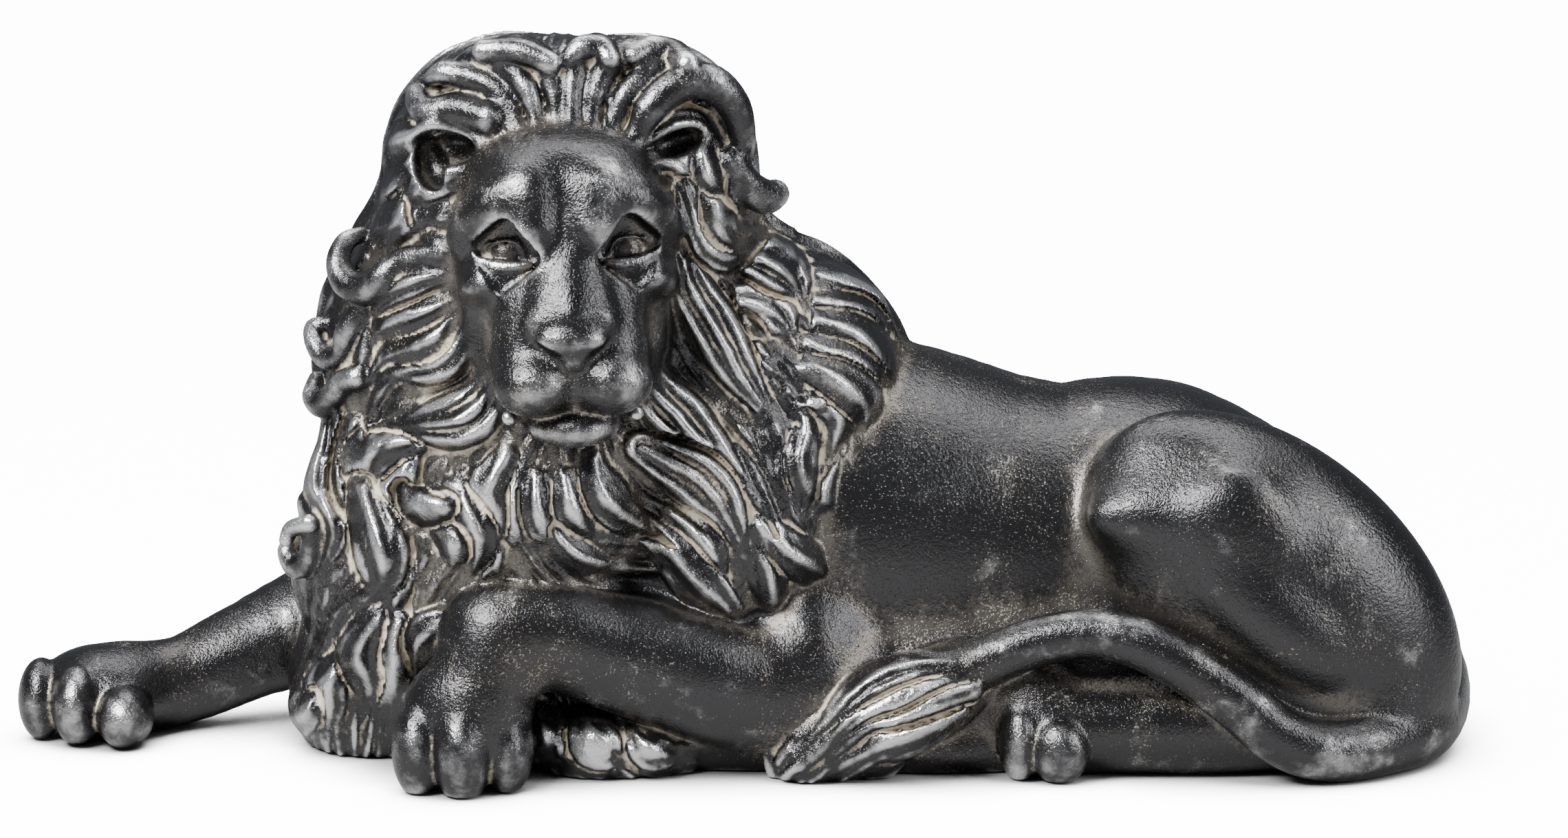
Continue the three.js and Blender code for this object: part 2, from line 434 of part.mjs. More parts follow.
// The relief of the mane's locks: heights on a sheet, in shares.
class Relief {
  constructor() {
    this.size = RELIEF_HIGH.map((v, i) => Math.ceil((v - RELIEF_LOW[i]) / RELIEF_STEP) + 1);
    this.height = new Float32Array(this.size[0] * this.size[1]);
  }

  carve([x0, y0, way0, x1, y1, way1, width, wave], { ease = 0.45, tip = 0.12, strands = 2 } = {}) {
    const heading = (degrees) => {
      const angle = THREE.MathUtils.degToRad(degrees);
      return new THREE.Vector2(Math.cos(angle), Math.sin(angle));
    };
    const start = new THREE.Vector2(x0, y0);
    const end = new THREE.Vector2(x1, y1);
    const pull = ease * start.distanceTo(end);
    const line = new THREE.CubicBezierCurve(
      start, start.clone().addScaledVector(heading(way0), pull),
      end.clone().addScaledVector(heading(way1), -pull), end,
    );
    const count = Math.round(clamp(3 * start.distanceTo(end), 12, 40));
    const points = line.getPoints(count).map((p, i) => {
      const s = i / count;
      const g = line.getTangent(s);
      const shift = wave * Math.sin(2 * Math.PI * s * 1.15) * Math.min(1, 3 * s);
      const swell = 0.55 + 0.45 * Math.sin(Math.PI * Math.min(1, s * 1.25));
      return [p.x - g.y * shift, p.y + g.x * shift, LOCK_SWELL * width * swell * (1 - (1 - tip) * s ** 2.5)];
    });
    const reach = LOCK_SWELL * width;
    const from = [0, 1].map((a) => {
      const edge = Math.min(...points.map((p) => p[a])) - reach;
      return Math.max(Math.floor((edge - RELIEF_LOW[a]) / RELIEF_STEP), 0);
    });
    const to = [0, 1].map((a) => {
      const edge = Math.max(...points.map((p) => p[a])) + reach;
      return Math.min(Math.ceil((edge - RELIEF_LOW[a]) / RELIEF_STEP), this.size[a] - 1);
    });
    for (let j = from[1]; j <= to[1]; j++) {
      for (let i = from[0]; i <= to[0]; i++) {
        const x = RELIEF_LOW[0] + i * RELIEF_STEP;
        const y = RELIEF_LOW[1] + j * RELIEF_STEP;
        let best = { q: 1 };
        for (let n = 0; n < count; n++) {
          const [ax, ay, aw] = points[n];
          const [ex, ey, ew] = points[n + 1].map((v, k) => v - points[n][k]);
          const t = clamp(((x - ax) * ex + (y - ay) * ey) / (ex * ex + ey * ey + 1e-9), 0, 1);
          const [rx, ry] = [x - ax - t * ex, y - ay - t * ey];
          const w = aw + ew * t;
          const q = Math.hypot(rx, ry) / w;
          if (q < best.q) best = { q, w, side: Math.sign(rx * ey - ry * ex) };
        }
        if (best.q >= 1) continue;
        const groove = 0.5 + 0.5 * Math.cos(Math.PI * (best.side * best.q * strands + 1));
        const fine = best.w > 0.45 * width ? 1 - STRAND_DEPTH * groove : 1;
        const rises = LOCK_RISE * best.w * (1 - best.q ** 2) ** 0.55 * fine;
        const at = j * this.size[0] + i;
        this.height[at] = Math.max(LOCK_SUNK * this.height[at], rises);
      }
    }
  }

  // The height at a place on the drawing.
  at(across, up) {
    const u = clamp((across - RELIEF_LOW[0]) / RELIEF_STEP, 0, this.size[0] - 1.01);
    const v = clamp((up - RELIEF_LOW[1]) / RELIEF_STEP, 0, this.size[1] - 1.01);
    const [i, j] = [Math.floor(u), Math.floor(v)];
    const row = (n) => {
      const at = n * this.size[0] + i;
      return THREE.MathUtils.lerp(this.height[at], this.height[at + 1], u - i);
    };
    return THREE.MathUtils.lerp(row(j), row(j + 1), v - j);
  }
}

function reliefOfLocks() {
  const relief = new Relief();
  for (const entry of LOCKS) {
    const [first, last] = entry.filter(Array.isArray);
    const options = entry.find((part) => !Array.isArray(part)) ?? {};
    if (!last) {
      relief.carve(first, options);
      continue;
    }
    const middle = (lock) => new THREE.Vector2(lock[0] + lock[3], lock[1] + lock[4]).divideScalar(2);
    const gap = (FAN_GAP * (first[6] + last[6])) / 2;
    const count = Math.max(2, Math.round(middle(first).distanceTo(middle(last)) / gap) + 1);
    for (let n = 0; n < count; n++) {
      relief.carve(first.map((v, k) => THREE.MathUtils.lerp(v, last[k], n / (count - 1))), options);
    }
  }
  relief.height = relief.height.map((height) => Math.max(height, HAIR_BASE));
  return relief;
}

// How high the plain strands are.
function strandHeight(x, y, z) {
  const [dx, dy] = [x - STRANDS.crown[0], y - STRANDS.crown[1]];
  const r = Math.hypot(dx, dy);
  const angle = Math.atan2(dy, dx);
  const wave = STRANDS.wave * Math.sin((2 * Math.PI * z) / STRANDS.wavelength + 2 * Math.sin(3 * angle));
  const strand = (STRANDS.count / (2 * Math.PI)) * (angle + wave / Math.max(r, 4));
  return STRANDS.height * Math.min(r / STRANDS.crownRadius, 1) * Math.abs(Math.cos(Math.PI * strand));
}

function lionField() {
  const clay = new Clay(FIELD_LOW, FIELD_HIGH, SKIN_STEP);
  const mane = new Clay(FIELD_LOW, FIELD_HIGH, SKIN_STEP);
  const relief = reliefOfLocks();
  sculpt(mane, MANE);
  const bare = mane.value.slice();
  const strides = [1, mane.size[0], mane.size[0] * mane.size[1]];
  mane.each(
    mm([RELIEF_LOW[0], FIELD_LOW[1], RELIEF_LOW[1]]),
    mm([RELIEF_HIGH[0], FIELD_HIGH[1], RELIEF_HIGH[1]]),
    (value, x, y, z, at) => {
      if (Math.abs(value) > RELIEF_REACH * SHARE) return value;
      const slope = strides.map((stride) => (bare[at + stride] ?? value) - (bare[at - stride] ?? value));
      const facing = Math.max(new THREE.Vector3(...slope).normalize().dot(toViewer), 0);
      const shows = THREE.MathUtils.lerp(FACED_AWAY, 1, facing);
      const turned = (TURNED_FROM - facing) / TURNED_FADE;
      const behind = clamp(Math.max((y / SHARE - FRONT_OF) / FRONT_FADE, turned), 0, 1);
      const drawn = behind < 1 ? shows * relief.at(...drawnAt(x, y, z)) : 0;
      const plain = behind > 0 ? strandHeight(x / SHARE, y / SHARE, z / SHARE) : 0;
      return value - SHARE * THREE.MathUtils.lerp(drawn, plain, behind);
    },
  );
  sculpt(clay, BODY);
  clay.value.forEach((value, at) => {
    clay.value[at] = smoothMin(value, mane.value[at], MANE_BLEND * SHARE);
  });
  for (const rows of CURLS) {
    let until = FIELD_HIGH[1] * SHARE;
    const line = rows.map(([across, up, radius]) => {
      const p = onSkin(clay, across, up, until);
      until = p.y + CURL_DEEPENS * SHARE;
      return [p.x / SHARE, p.y / SHARE, p.z / SHARE, radius];
    });
    clay.merge(new Limb(line), CURL_BLEND);
  }
  sculpt(clay, TOES.map((egg) => ({ egg, blend: TOE_BLEND })));
  sculpt(clay, FACE, headFrame);
  for (const [across, up, radii, tilt] of EARS) {
    const p = onSkin(clay, across, up, FIELD_HIGH[1] * SHARE);
    clay.merge(new Egg([p.toArray().map((v) => v / SHARE), radii, [0, tilt, 0]]), EAR_BLEND, true);
  }
  clay.each(mm(FIELD_LOW), mm(FIELD_HIGH), (value, x, y, z) => Math.max(value, -GROUND_SLICE - z));
  return clay;
}

// The skin where the field is zero, as points and triangles that face out.
function skinOf(clay) {
  const { size, step, low, value } = clay;
  const across = [1, size[0], size[0] * size[1]];
  // a cube's corners, in the table's order, and the two corners of each edge
  const corners = [[0, 0, 0], [1, 0, 0], [1, 1, 0], [0, 1, 0], [0, 0, 1], [1, 0, 1], [1, 1, 1], [0, 1, 1]];
  const edges = [[0, 1], [1, 2], [3, 2], [0, 3], [4, 5], [5, 6], [7, 6], [4, 7], [0, 4], [1, 5], [2, 6],
    [3, 7]];
  const offset = corners.map((c) => c[0] * across[0] + c[1] * across[1] + c[2] * across[2]);
  const axisOf = edges.map(([a, b]) => corners[a].findIndex((v, i) => v !== corners[b][i]));
  const points = [];
  const faces = [];
  const known = new Map();
  const least = step * 1e-3;
  const level = (at) => (Math.abs(value[at]) < least ? least : value[at]);
  const pointOn = (cell, at, edge) => {
    const [a, b] = edges[edge];
    const key = (at + offset[a]) * 3 + axisOf[edge];
    if (known.has(key)) return known.get(key);
    const [va, vb] = [level(at + offset[a]), level(at + offset[b])];
    const t = va / (va - vb);
    for (let i = 0; i < 3; i++) {
      const c = cell[i] + corners[a][i] + t * (corners[b][i] - corners[a][i]);
      points.push(low[i] + step * c);
    }
    known.set(key, points.length / 3 - 1);
    return points.length / 3 - 1;
  };
  for (let k = 0; k + 1 < size[2]; k++) {
    for (let j = 0; j + 1 < size[1]; j++) {
      for (let i = 0; i + 1 < size[0]; i++) {
        const at = (k * size[1] + j) * size[0] + i;
        let kind = 0;
        for (let n = 0; n < 8; n++) if (level(at + offset[n]) > 0) kind |= 1 << n;
        if (kind === 0 || kind === 255) continue;
        for (let n = kind * 16; triTable[n] !== -1; n += 3) {
          faces.push([0, 1, 2].map((m) => pointOn([i, j, k], at, triTable[n + m])));
        }
      }
    }
  }
  return { points, faces };
}

// Thins a closed mesh by joining the ends of an edge, the one that changes the form least first.
function thin({ points, faces }, goal) {
  const count = points.length / 3;
  const form = new Float64Array(count * 10); // each point's sum of squared distances to its planes
  const around = Array.from({ length: count }, () => new Set());
  const version = new Int32Array(count);
  const at = (v) => new THREE.Vector3(points[3 * v], points[3 * v + 1], points[3 * v + 2]);
  const normalOf = (a, b, c) => b.clone().sub(a).cross(c.clone().sub(a));
  faces.forEach((face, f) => {
    const [a, b, c] = face.map(at);
    const n = normalOf(a, b, c);
    const area = n.length();
    n.divideScalar(area || 1);
    const p = [n.x, n.y, n.z, -n.dot(a)];
    for (const v of face) {
      around[v].add(f);
      for (let i = 0, m = 0; i < 4; i++) for (let j = i; j < 4; j++, m++) form[10 * v + m] += area * p[i] * p[j];
    }
  });

  const cost = (q, { x, y, z }) =>
    q[0] * x * x + 2 * q[1] * x * y + 2 * q[2] * x * z + 2 * q[3] * x + q[4] * y * y + 2 * q[5] * y * z +
    2 * q[6] * y + q[7] * z * z + 2 * q[8] * z + q[9];
  const planOf = (u, v) => {
    const q = Array.from({ length: 10 }, (_, m) => form[10 * u + m] + form[10 * v + m]);
    const [a, b] = [at(u), at(v)];
    const choices = [a, b, a.clone().lerp(b, 0.5)];
    const m = new THREE.Matrix3().set(q[0], q[1], q[2], q[1], q[4], q[5], q[2], q[5], q[7]);
    const scale = q[0] + q[4] + q[7];
    if (Math.abs(m.determinant()) > 1e-5 * scale ** 3) {
      const best = new THREE.Vector3(-q[3], -q[6], -q[8]).applyMatrix3(m.invert());
      if (best.distanceTo(choices[2]) < 2 * a.distanceTo(b)) choices.push(best);
    }
    let plan = { cost: Infinity };
    for (const p of choices) {
      const c = Math.max(cost(q, p), 0) + 1e-6 * a.distanceToSquared(b);
      if (c < plan.cost) plan = { cost: c, point: p };
    }
    return { ...plan, u, v, made: [version[u], version[v]] };
  };

  const heap = [];
  const push = (item) => {
    let i = heap.push(item) - 1;
    for (let up = (i - 1) >> 1; i > 0 && heap[up].cost > item.cost; i = up, up = (i - 1) >> 1) heap[i] = heap[up];
    heap[i] = item;
  };
  const pop = () => {
    const top = heap[0];
    const last = heap.pop();
    if (!heap.length) return top;
    let i = 0;
    for (let down = 1; down < heap.length; down = 2 * i + 1) {
      if (down + 1 < heap.length && heap[down + 1].cost < heap[down].cost) down++;
      if (heap[down].cost >= last.cost) break;
      heap[i] = heap[down];
      i = down;
    }
    heap[i] = last;
    return top;
  };
  const ringOf = (v) => {
    const ring = new Set();
    for (const f of around[v]) for (const w of faces[f]) if (w !== v) ring.add(w);
    return ring;
  };
  const turnsOver = (v, other, point) => {
    for (const f of around[v]) {
      if (faces[f].includes(other)) continue;
      const now = faces[f].map(at);
      const then = faces[f].map((w) => (w === v ? point : at(w)));
      const [n, m] = [normalOf(...now), normalOf(...then)];
      if (n.dot(m) < 0.2 * n.length() * m.length() || m.length() < 1e-3) return true;
    }
    return false;
  };

  for (const face of faces) face.forEach((v, i) => { if (v < face[(i + 1) % 3]) push(planOf(v, face[(i + 1) % 3])); });
  let left = faces.length;
  while (left > goal && heap.length) {
    const { u, v, made, point } = pop();
    if (version[u] !== made[0] || version[v] !== made[1]) continue;
    const ring = ringOf(v);
    if ([...ringOf(u)].filter((w) => ring.has(w)).length !== 2) continue;
    if (turnsOver(u, v, point) || turnsOver(v, u, point)) continue;
    for (const f of around[v]) {
      if (faces[f].includes(u)) {
        for (const w of faces[f]) if (w !== v) around[w].delete(f);
        faces[f] = null;
        left--;
      } else {
        faces[f] = faces[f].map((w) => (w === v ? u : w));
        around[u].add(f);
      }
    }
    around[v].clear();
    [points[3 * u], points[3 * u + 1], points[3 * u + 2]] = point.toArray();
    for (let m = 0; m < 10; m++) form[10 * u + m] += form[10 * v + m];
    version[v] = -1;
    version[u]++;
    for (const w of ringOf(u)) push(planOf(u, w));
  }
  return { points, faces: faces.filter(Boolean) };
}

const wasm = await Module();
wasm.setup();

function solidFrom(geometry) {
  geometry.deleteAttribute("normal");
  geometry.deleteAttribute("uv");
  const merged = mergeVertices(geometry, 1e-4);
  return new wasm.Manifold(new wasm.Mesh({
    numProp: 3,
    vertProperties: merged.attributes.position.array,
    triVerts: new Uint32Array(merged.index.array),
  }));
}

function geometryFrom(points, faces) {
  const geometry = new THREE.BufferGeometry();
  geometry.setAttribute("position", new THREE.BufferAttribute(new Float32Array(points), 3));
  geometry.setIndex(faces);
  return geometry;
}

// The ground slice: everything below z = 0.
function groundSlice() {
  const depth = 2 * GROUND_SLICE;
  const span = 2 * LENGTH;
  const box = new THREE.BoxGeometry(span, span, depth);
  box.translate(LENGTH / 2, 0, -depth / 2);
  return solidFrom(box);
}

function lionGeometry() {
  const skin = thin(skinOf(lionField()), SKIN_TRIANGLES);
  const whole = solidFrom(geometryFrom(skin.points, skin.faces.flat())).subtract(groundSlice());
  const [body] = whole.decompose().sort((a, b) => b.volume() - a.volume());
  const mesh = body.getMesh();
  const geometry = geometryFrom(mesh.vertProperties, [...mesh.triVerts]);
  geometry.computeBoundingBox();
  const { min, max } = geometry.boundingBox;
  geometry.translate(-(min.x + max.x) / 2, -(min.y + max.y) / 2, -min.z);
  geometry.computeVertexNormals();
  return geometry;
}

const iron = new THREE.MeshStandardMaterial({ color: 0x34363b, roughness: 0.38, metalness: 0.9 });
const lion = new THREE.Mesh(lionGeometry(), iron);
lion.name = "lion";

const figure = new THREE.Group();
figure.add(lion);

export default figure;
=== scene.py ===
"""A lying cast iron lion: its fine sculpt, its blackened and worn iron, and the studio it stands in.

The form is a field on a grid: rounded masses melt together, locks of hair are carved on the mane as a
relief, and the skin where the field is zero becomes the mesh. Lengths in the sculpt are shares: about
hundredths of the lion's length. +X runs from the stretched forepaw to the rump, +Z is up.
"""
import math

import bpy
import numpy as np
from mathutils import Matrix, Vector


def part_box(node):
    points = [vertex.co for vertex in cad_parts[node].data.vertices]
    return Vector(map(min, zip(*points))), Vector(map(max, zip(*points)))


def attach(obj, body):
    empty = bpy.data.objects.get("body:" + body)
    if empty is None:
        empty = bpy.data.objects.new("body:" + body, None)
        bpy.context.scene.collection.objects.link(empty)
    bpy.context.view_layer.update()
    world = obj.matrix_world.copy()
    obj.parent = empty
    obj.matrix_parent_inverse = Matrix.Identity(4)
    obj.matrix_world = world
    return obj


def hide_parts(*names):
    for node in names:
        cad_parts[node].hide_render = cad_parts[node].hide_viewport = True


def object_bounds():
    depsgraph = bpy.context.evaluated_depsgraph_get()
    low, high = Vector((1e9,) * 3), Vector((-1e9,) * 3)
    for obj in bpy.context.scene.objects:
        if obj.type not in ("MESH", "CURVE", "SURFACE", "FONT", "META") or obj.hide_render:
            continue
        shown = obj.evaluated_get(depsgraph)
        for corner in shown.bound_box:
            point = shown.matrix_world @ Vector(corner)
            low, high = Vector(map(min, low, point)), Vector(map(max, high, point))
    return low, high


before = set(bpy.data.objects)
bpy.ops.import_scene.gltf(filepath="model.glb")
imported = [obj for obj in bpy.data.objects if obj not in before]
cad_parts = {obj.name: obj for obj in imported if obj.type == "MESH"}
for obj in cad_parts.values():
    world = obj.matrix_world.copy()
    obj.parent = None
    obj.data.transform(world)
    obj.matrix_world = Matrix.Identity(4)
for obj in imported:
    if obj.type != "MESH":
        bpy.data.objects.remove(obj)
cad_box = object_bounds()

bl_info = {
    "name": "Cast iron lion",
    "version": (1, 0, 0),
    "blender": (4, 5, 0),
    "location": "View3D > Sidebar > Lion",
    "description": "Sculpts a lying cast iron lion and sets it in a plain studio",
    "category": "Object",
}

NODE = "lion"
BODY = "root"

FAR = 4.0  # the field's value away from every mass
FIELD_LOW = (-3.0, -28.6, -1.2)
FIELD_HIGH = (103.0, 18.0, 54.0)
SCULPT_LENGTH = 101.0  # over the forepaw and the rump
SCULPT_ORIGIN = np.array([50.0, -4.2, 0.0])  # where the frame's origin lies in the sculpt
GROUND_SLICE = 0.6  # metal below the ground plane, cut away flat

# The relief is drawn as it is seen from the front, from a little above.
DRAWN_RISE = math.radians(10)
DRAWN_AWAY = 350.0
DRAWN_AIM = np.array([52.7, -5.0, 22.6])
DRAWN_UP = 24.25
RELIEF_LOW = np.array([12.0, -3.0])
RELIEF_HIGH = np.array([70.0, 56.0])
RELIEF_STEP = 0.1
RELIEF_REACH = 3.0  # how deep under and over the mane's skin the relief is felt
FRONT_OF = 2.0  # the drawn relief is on this side of y, plain strands behind it
FRONT_FADE = 4.0
TURNED_FROM = 0.22  # and plain strands where the skin faces the viewer less than this
TURNED_FADE = 0.2
FACED_AWAY = 0.45  # what is left of the drawn relief on a skin turned away from the viewer
START_BEFORE = 45.0  # how far in front of the drawing's plane the search for the skin starts
SEARCH_STEP = 0.7  # of the distance to the skin
SEARCH_LEAST = 0.05

# A lock's form on the sheet.
LOCK_SWELL = 1.9  # its half width over the listed one
LOCK_ROOT = 0.55  # its width at the root over its widest
LOCK_BELLY = 1.25  # it is back to the root's width at 1 over this of its length
LOCK_TAPER = 2.5  # the higher, the later it narrows to the tip
LOCK_WAVES = 1.15  # waves along it
LOCK_EDGE, LOCK_ROUND = 2.4, 0.55  # the powers of its cross section
LOCK_SUNK = 0.35  # what is left of a lock under a later one
STRAND_DEPTH = 0.24
STRANDS_FROM = 0.45  # strands show where it is wider than this share of the listed width

# The fine hair between and on the locks.
HAIR_BASE = 0.3
HAIR_DEPTH = 0.3
HAIR_ON_LOCKS = 0.35
HAIR_SMEAR = 22  # steps of the noise along the flow, each way
HAIR_SEED = 7
FLOW_CELL = 8  # sheet samples
FLOW_REACH = 2.4

# The plain strands spread from the crown and fall all round.
STRANDS = dict(crown=(38.5, -2.5), count=32, wave=0.8, wavelength=9.0, height=0.9, crown_radius=5.0)

HEAD_AT = (37.6, -11.0, 37.2)
HEAD_TURN = (4.0, -1.2, 6.0)

# How far round a point the field is averaged for the material: small creases, broad hollows.
SHADE_REACH = {"hollow": 0.5, "cavity": 1.8}
SHADE_LIMIT = 1.5

# Limbs are rows of x, y, z, radius. Eggs are a centre, three radii and a turn in degrees.
BODY_MASSES = [
    dict(limb=[(46, 0, 15.5, 14.3), (58, 0, 14.5, 13.3), (66, 0, 13.2, 12.2), (72, 0, 12.6, 11.7),
               (77.5, 0, 12.8, 12), (84, 0, 9.4, 11.4), (88.5, 0.5, 5.5, 9.6)], narrow=0.95, blend=1.5),
    dict(limb=[(34, -4, 4.5, 8), (48, -4, 4.5, 10), (64, -3, 4, 11), (80, -2, 4, 11.5)], blend=1.5),  # belly
    dict(egg=[(86, -9.2, 11.8), (15.2, 6.8, 9.6), (0, 42, 0)], blend=0.8),  # near haunch
    dict(egg=[(85.5, 7.6, 9.3), (14.6, 6.8, 9), (0, 42, 0)], blend=0.8),  # far haunch
    dict(egg=[(77.5, -12.9, 17.6), (4, 1.5, 1.5)], blend=3),  # haunch muscles
    dict(egg=[(83.2, -14.3, 16.8), (2.6, 1.4, 3.6)], blend=3),
    dict(egg=[(86, -15, 10.5), (4.5, 1.6, 2), (0, 38, 0)], blend=2),
    dict(egg=[(54, -9.8, 7), (5, 6, 6.5)], blend=2),  # elbow
    dict(limb=[(54, -11.3, 5, 4.6), (47, -13.3, 6.9, 4.5), (41, -14.6, 8.8, 4), (36.8, -15.6, 10.2, 3.8),
               (33.6, -15.9, 10, 3.8)], blend=1.2),
    dict(limb=[(33.6, -15.9, 10, 3.8), (32.6, -17, 7, 3.5), (31.8, -17.2, 4.4, 3.7)], blend=1.2),
    dict(limb=[(40, 8, 14, 8), (30, 7.4, 9.8, 5.8), (22, 5.4, 7.4, 4.5), (15, 2.8, 5, 3.5),
               (10.5, 0.8, 3.3, 3.1), (7, -0.8, 3, 3.2)], blend=1.5),  # stretched foreleg
    dict(egg=[(5, -1.8, 3), (4.8, 4.4, 3.3)], blend=1),
    dict(limb=[(93, -10.5, 4.3, 4.2), (84, -12.2, 3.2, 3.5), (75, -12.7, 3.2, 3.3), (70.5, -13, 3.2, 3.2)],
         blend=0.8),  # hind leg
    dict(egg=[(69.5, -12.4, 4.6), (4, 3, 3.4), (0, 20, 0)], blend=0.8),  # hind foot
    dict(limb=[(95.5, 6, 7.5, 3.4), (97.6, -1, 3.8, 3), (96.4, -9, 2.5, 2.6), (93, -13.6, 2.2, 2.3),
               (89.2, -15.8, 2.1, 2.1), (86, -16.3, 3.2, 2), (82.8, -16.3, 5.8, 1.9), (78.5, -15.9, 8.6, 1.8),
               (74.2, -15.4, 10, 1.7), (69.9, -15, 9.5, 1.7), (65.6, -14.8, 7.8, 1.8), (62, -14.8, 6.1, 2.2)],
         blend=0.5),  # tail
    dict(egg=[(31.3, -17, 5.2), (4.2, 3.4, 3.8)], blend=1),  # near paw
    dict(egg=[(63, -10.8, 1.5), (7, 3.6, 2.4)], blend=1),
]

MANE_MASSES = [
    dict(egg=[(38.05, -5, 38.3), (12.1, 9.8, 10.6)], power=2.8, blend=3),  # crest
    dict(egg=[(36.8, -3, 27), (15.9, 12, 14.6)], blend=3),
    dict(egg=[(49.9, -1, 23.3), (11.4, 12.2, 11.6)], blend=3),
    dict(egg=[(32, -5, 12.5), (12.6, 10.4, 13.4)], blend=3),
    dict(egg=[(36, -9, 20), (9.4, 8.6, 11.6)], blend=3),
    dict(egg=[(49.5, -8, 16.5), (6.6, 7.4, 8.6)], blend=3),
    dict(egg=[(24.3, -4, 3.5), (5.6, 6.4, 5.4)], blend=2),  # between the forelegs
    dict(egg=[(41, -10.5, 1.6), (7.2, 5, 3.2)], blend=1),  # under the forearm
    dict(cut=True, egg=[(37.1, -6, 51.2), (0.9, 9, 1.8)], blend=0.8),  # parting
    dict(limb=[(65, -14.2, 7.2, 1.6), (61.5, -14, 5.3, 2.8), (57.8, -14.2, 3.4, 3.3),
               (54.2, -14.6, 1.4, 2.1)], blend=0.8),  # tuft
]
MANE_BLEND = 0.3

# Eggs: three on the stretched paw, three on the near paw, two on the hind foot.
TOES = [
    [(7, -5.8, 2.1), (2, 2.6, 2.2)], [(3.6, -4.8, 2.7), (1.8, 2.8, 2.8)], [(0.8, -2.8, 2.7), (1.6, 2.6, 2.9)],
    [(31.2, -19.2, 2.9), (2.1, 2.7, 3.5)], [(28.2, -18.2, 2.8), (1.8, 2.6, 3.3)],
    [(34.1, -18, 2.7), (1.8, 2.6, 3)],
    [(71.2, -15.3, 2.1), (2.1, 2.3, 2.4)], [(68.6, -14.6, 2.4), (1.5, 2.2, 2.7)],
]
TOE_BLEND = 0.35

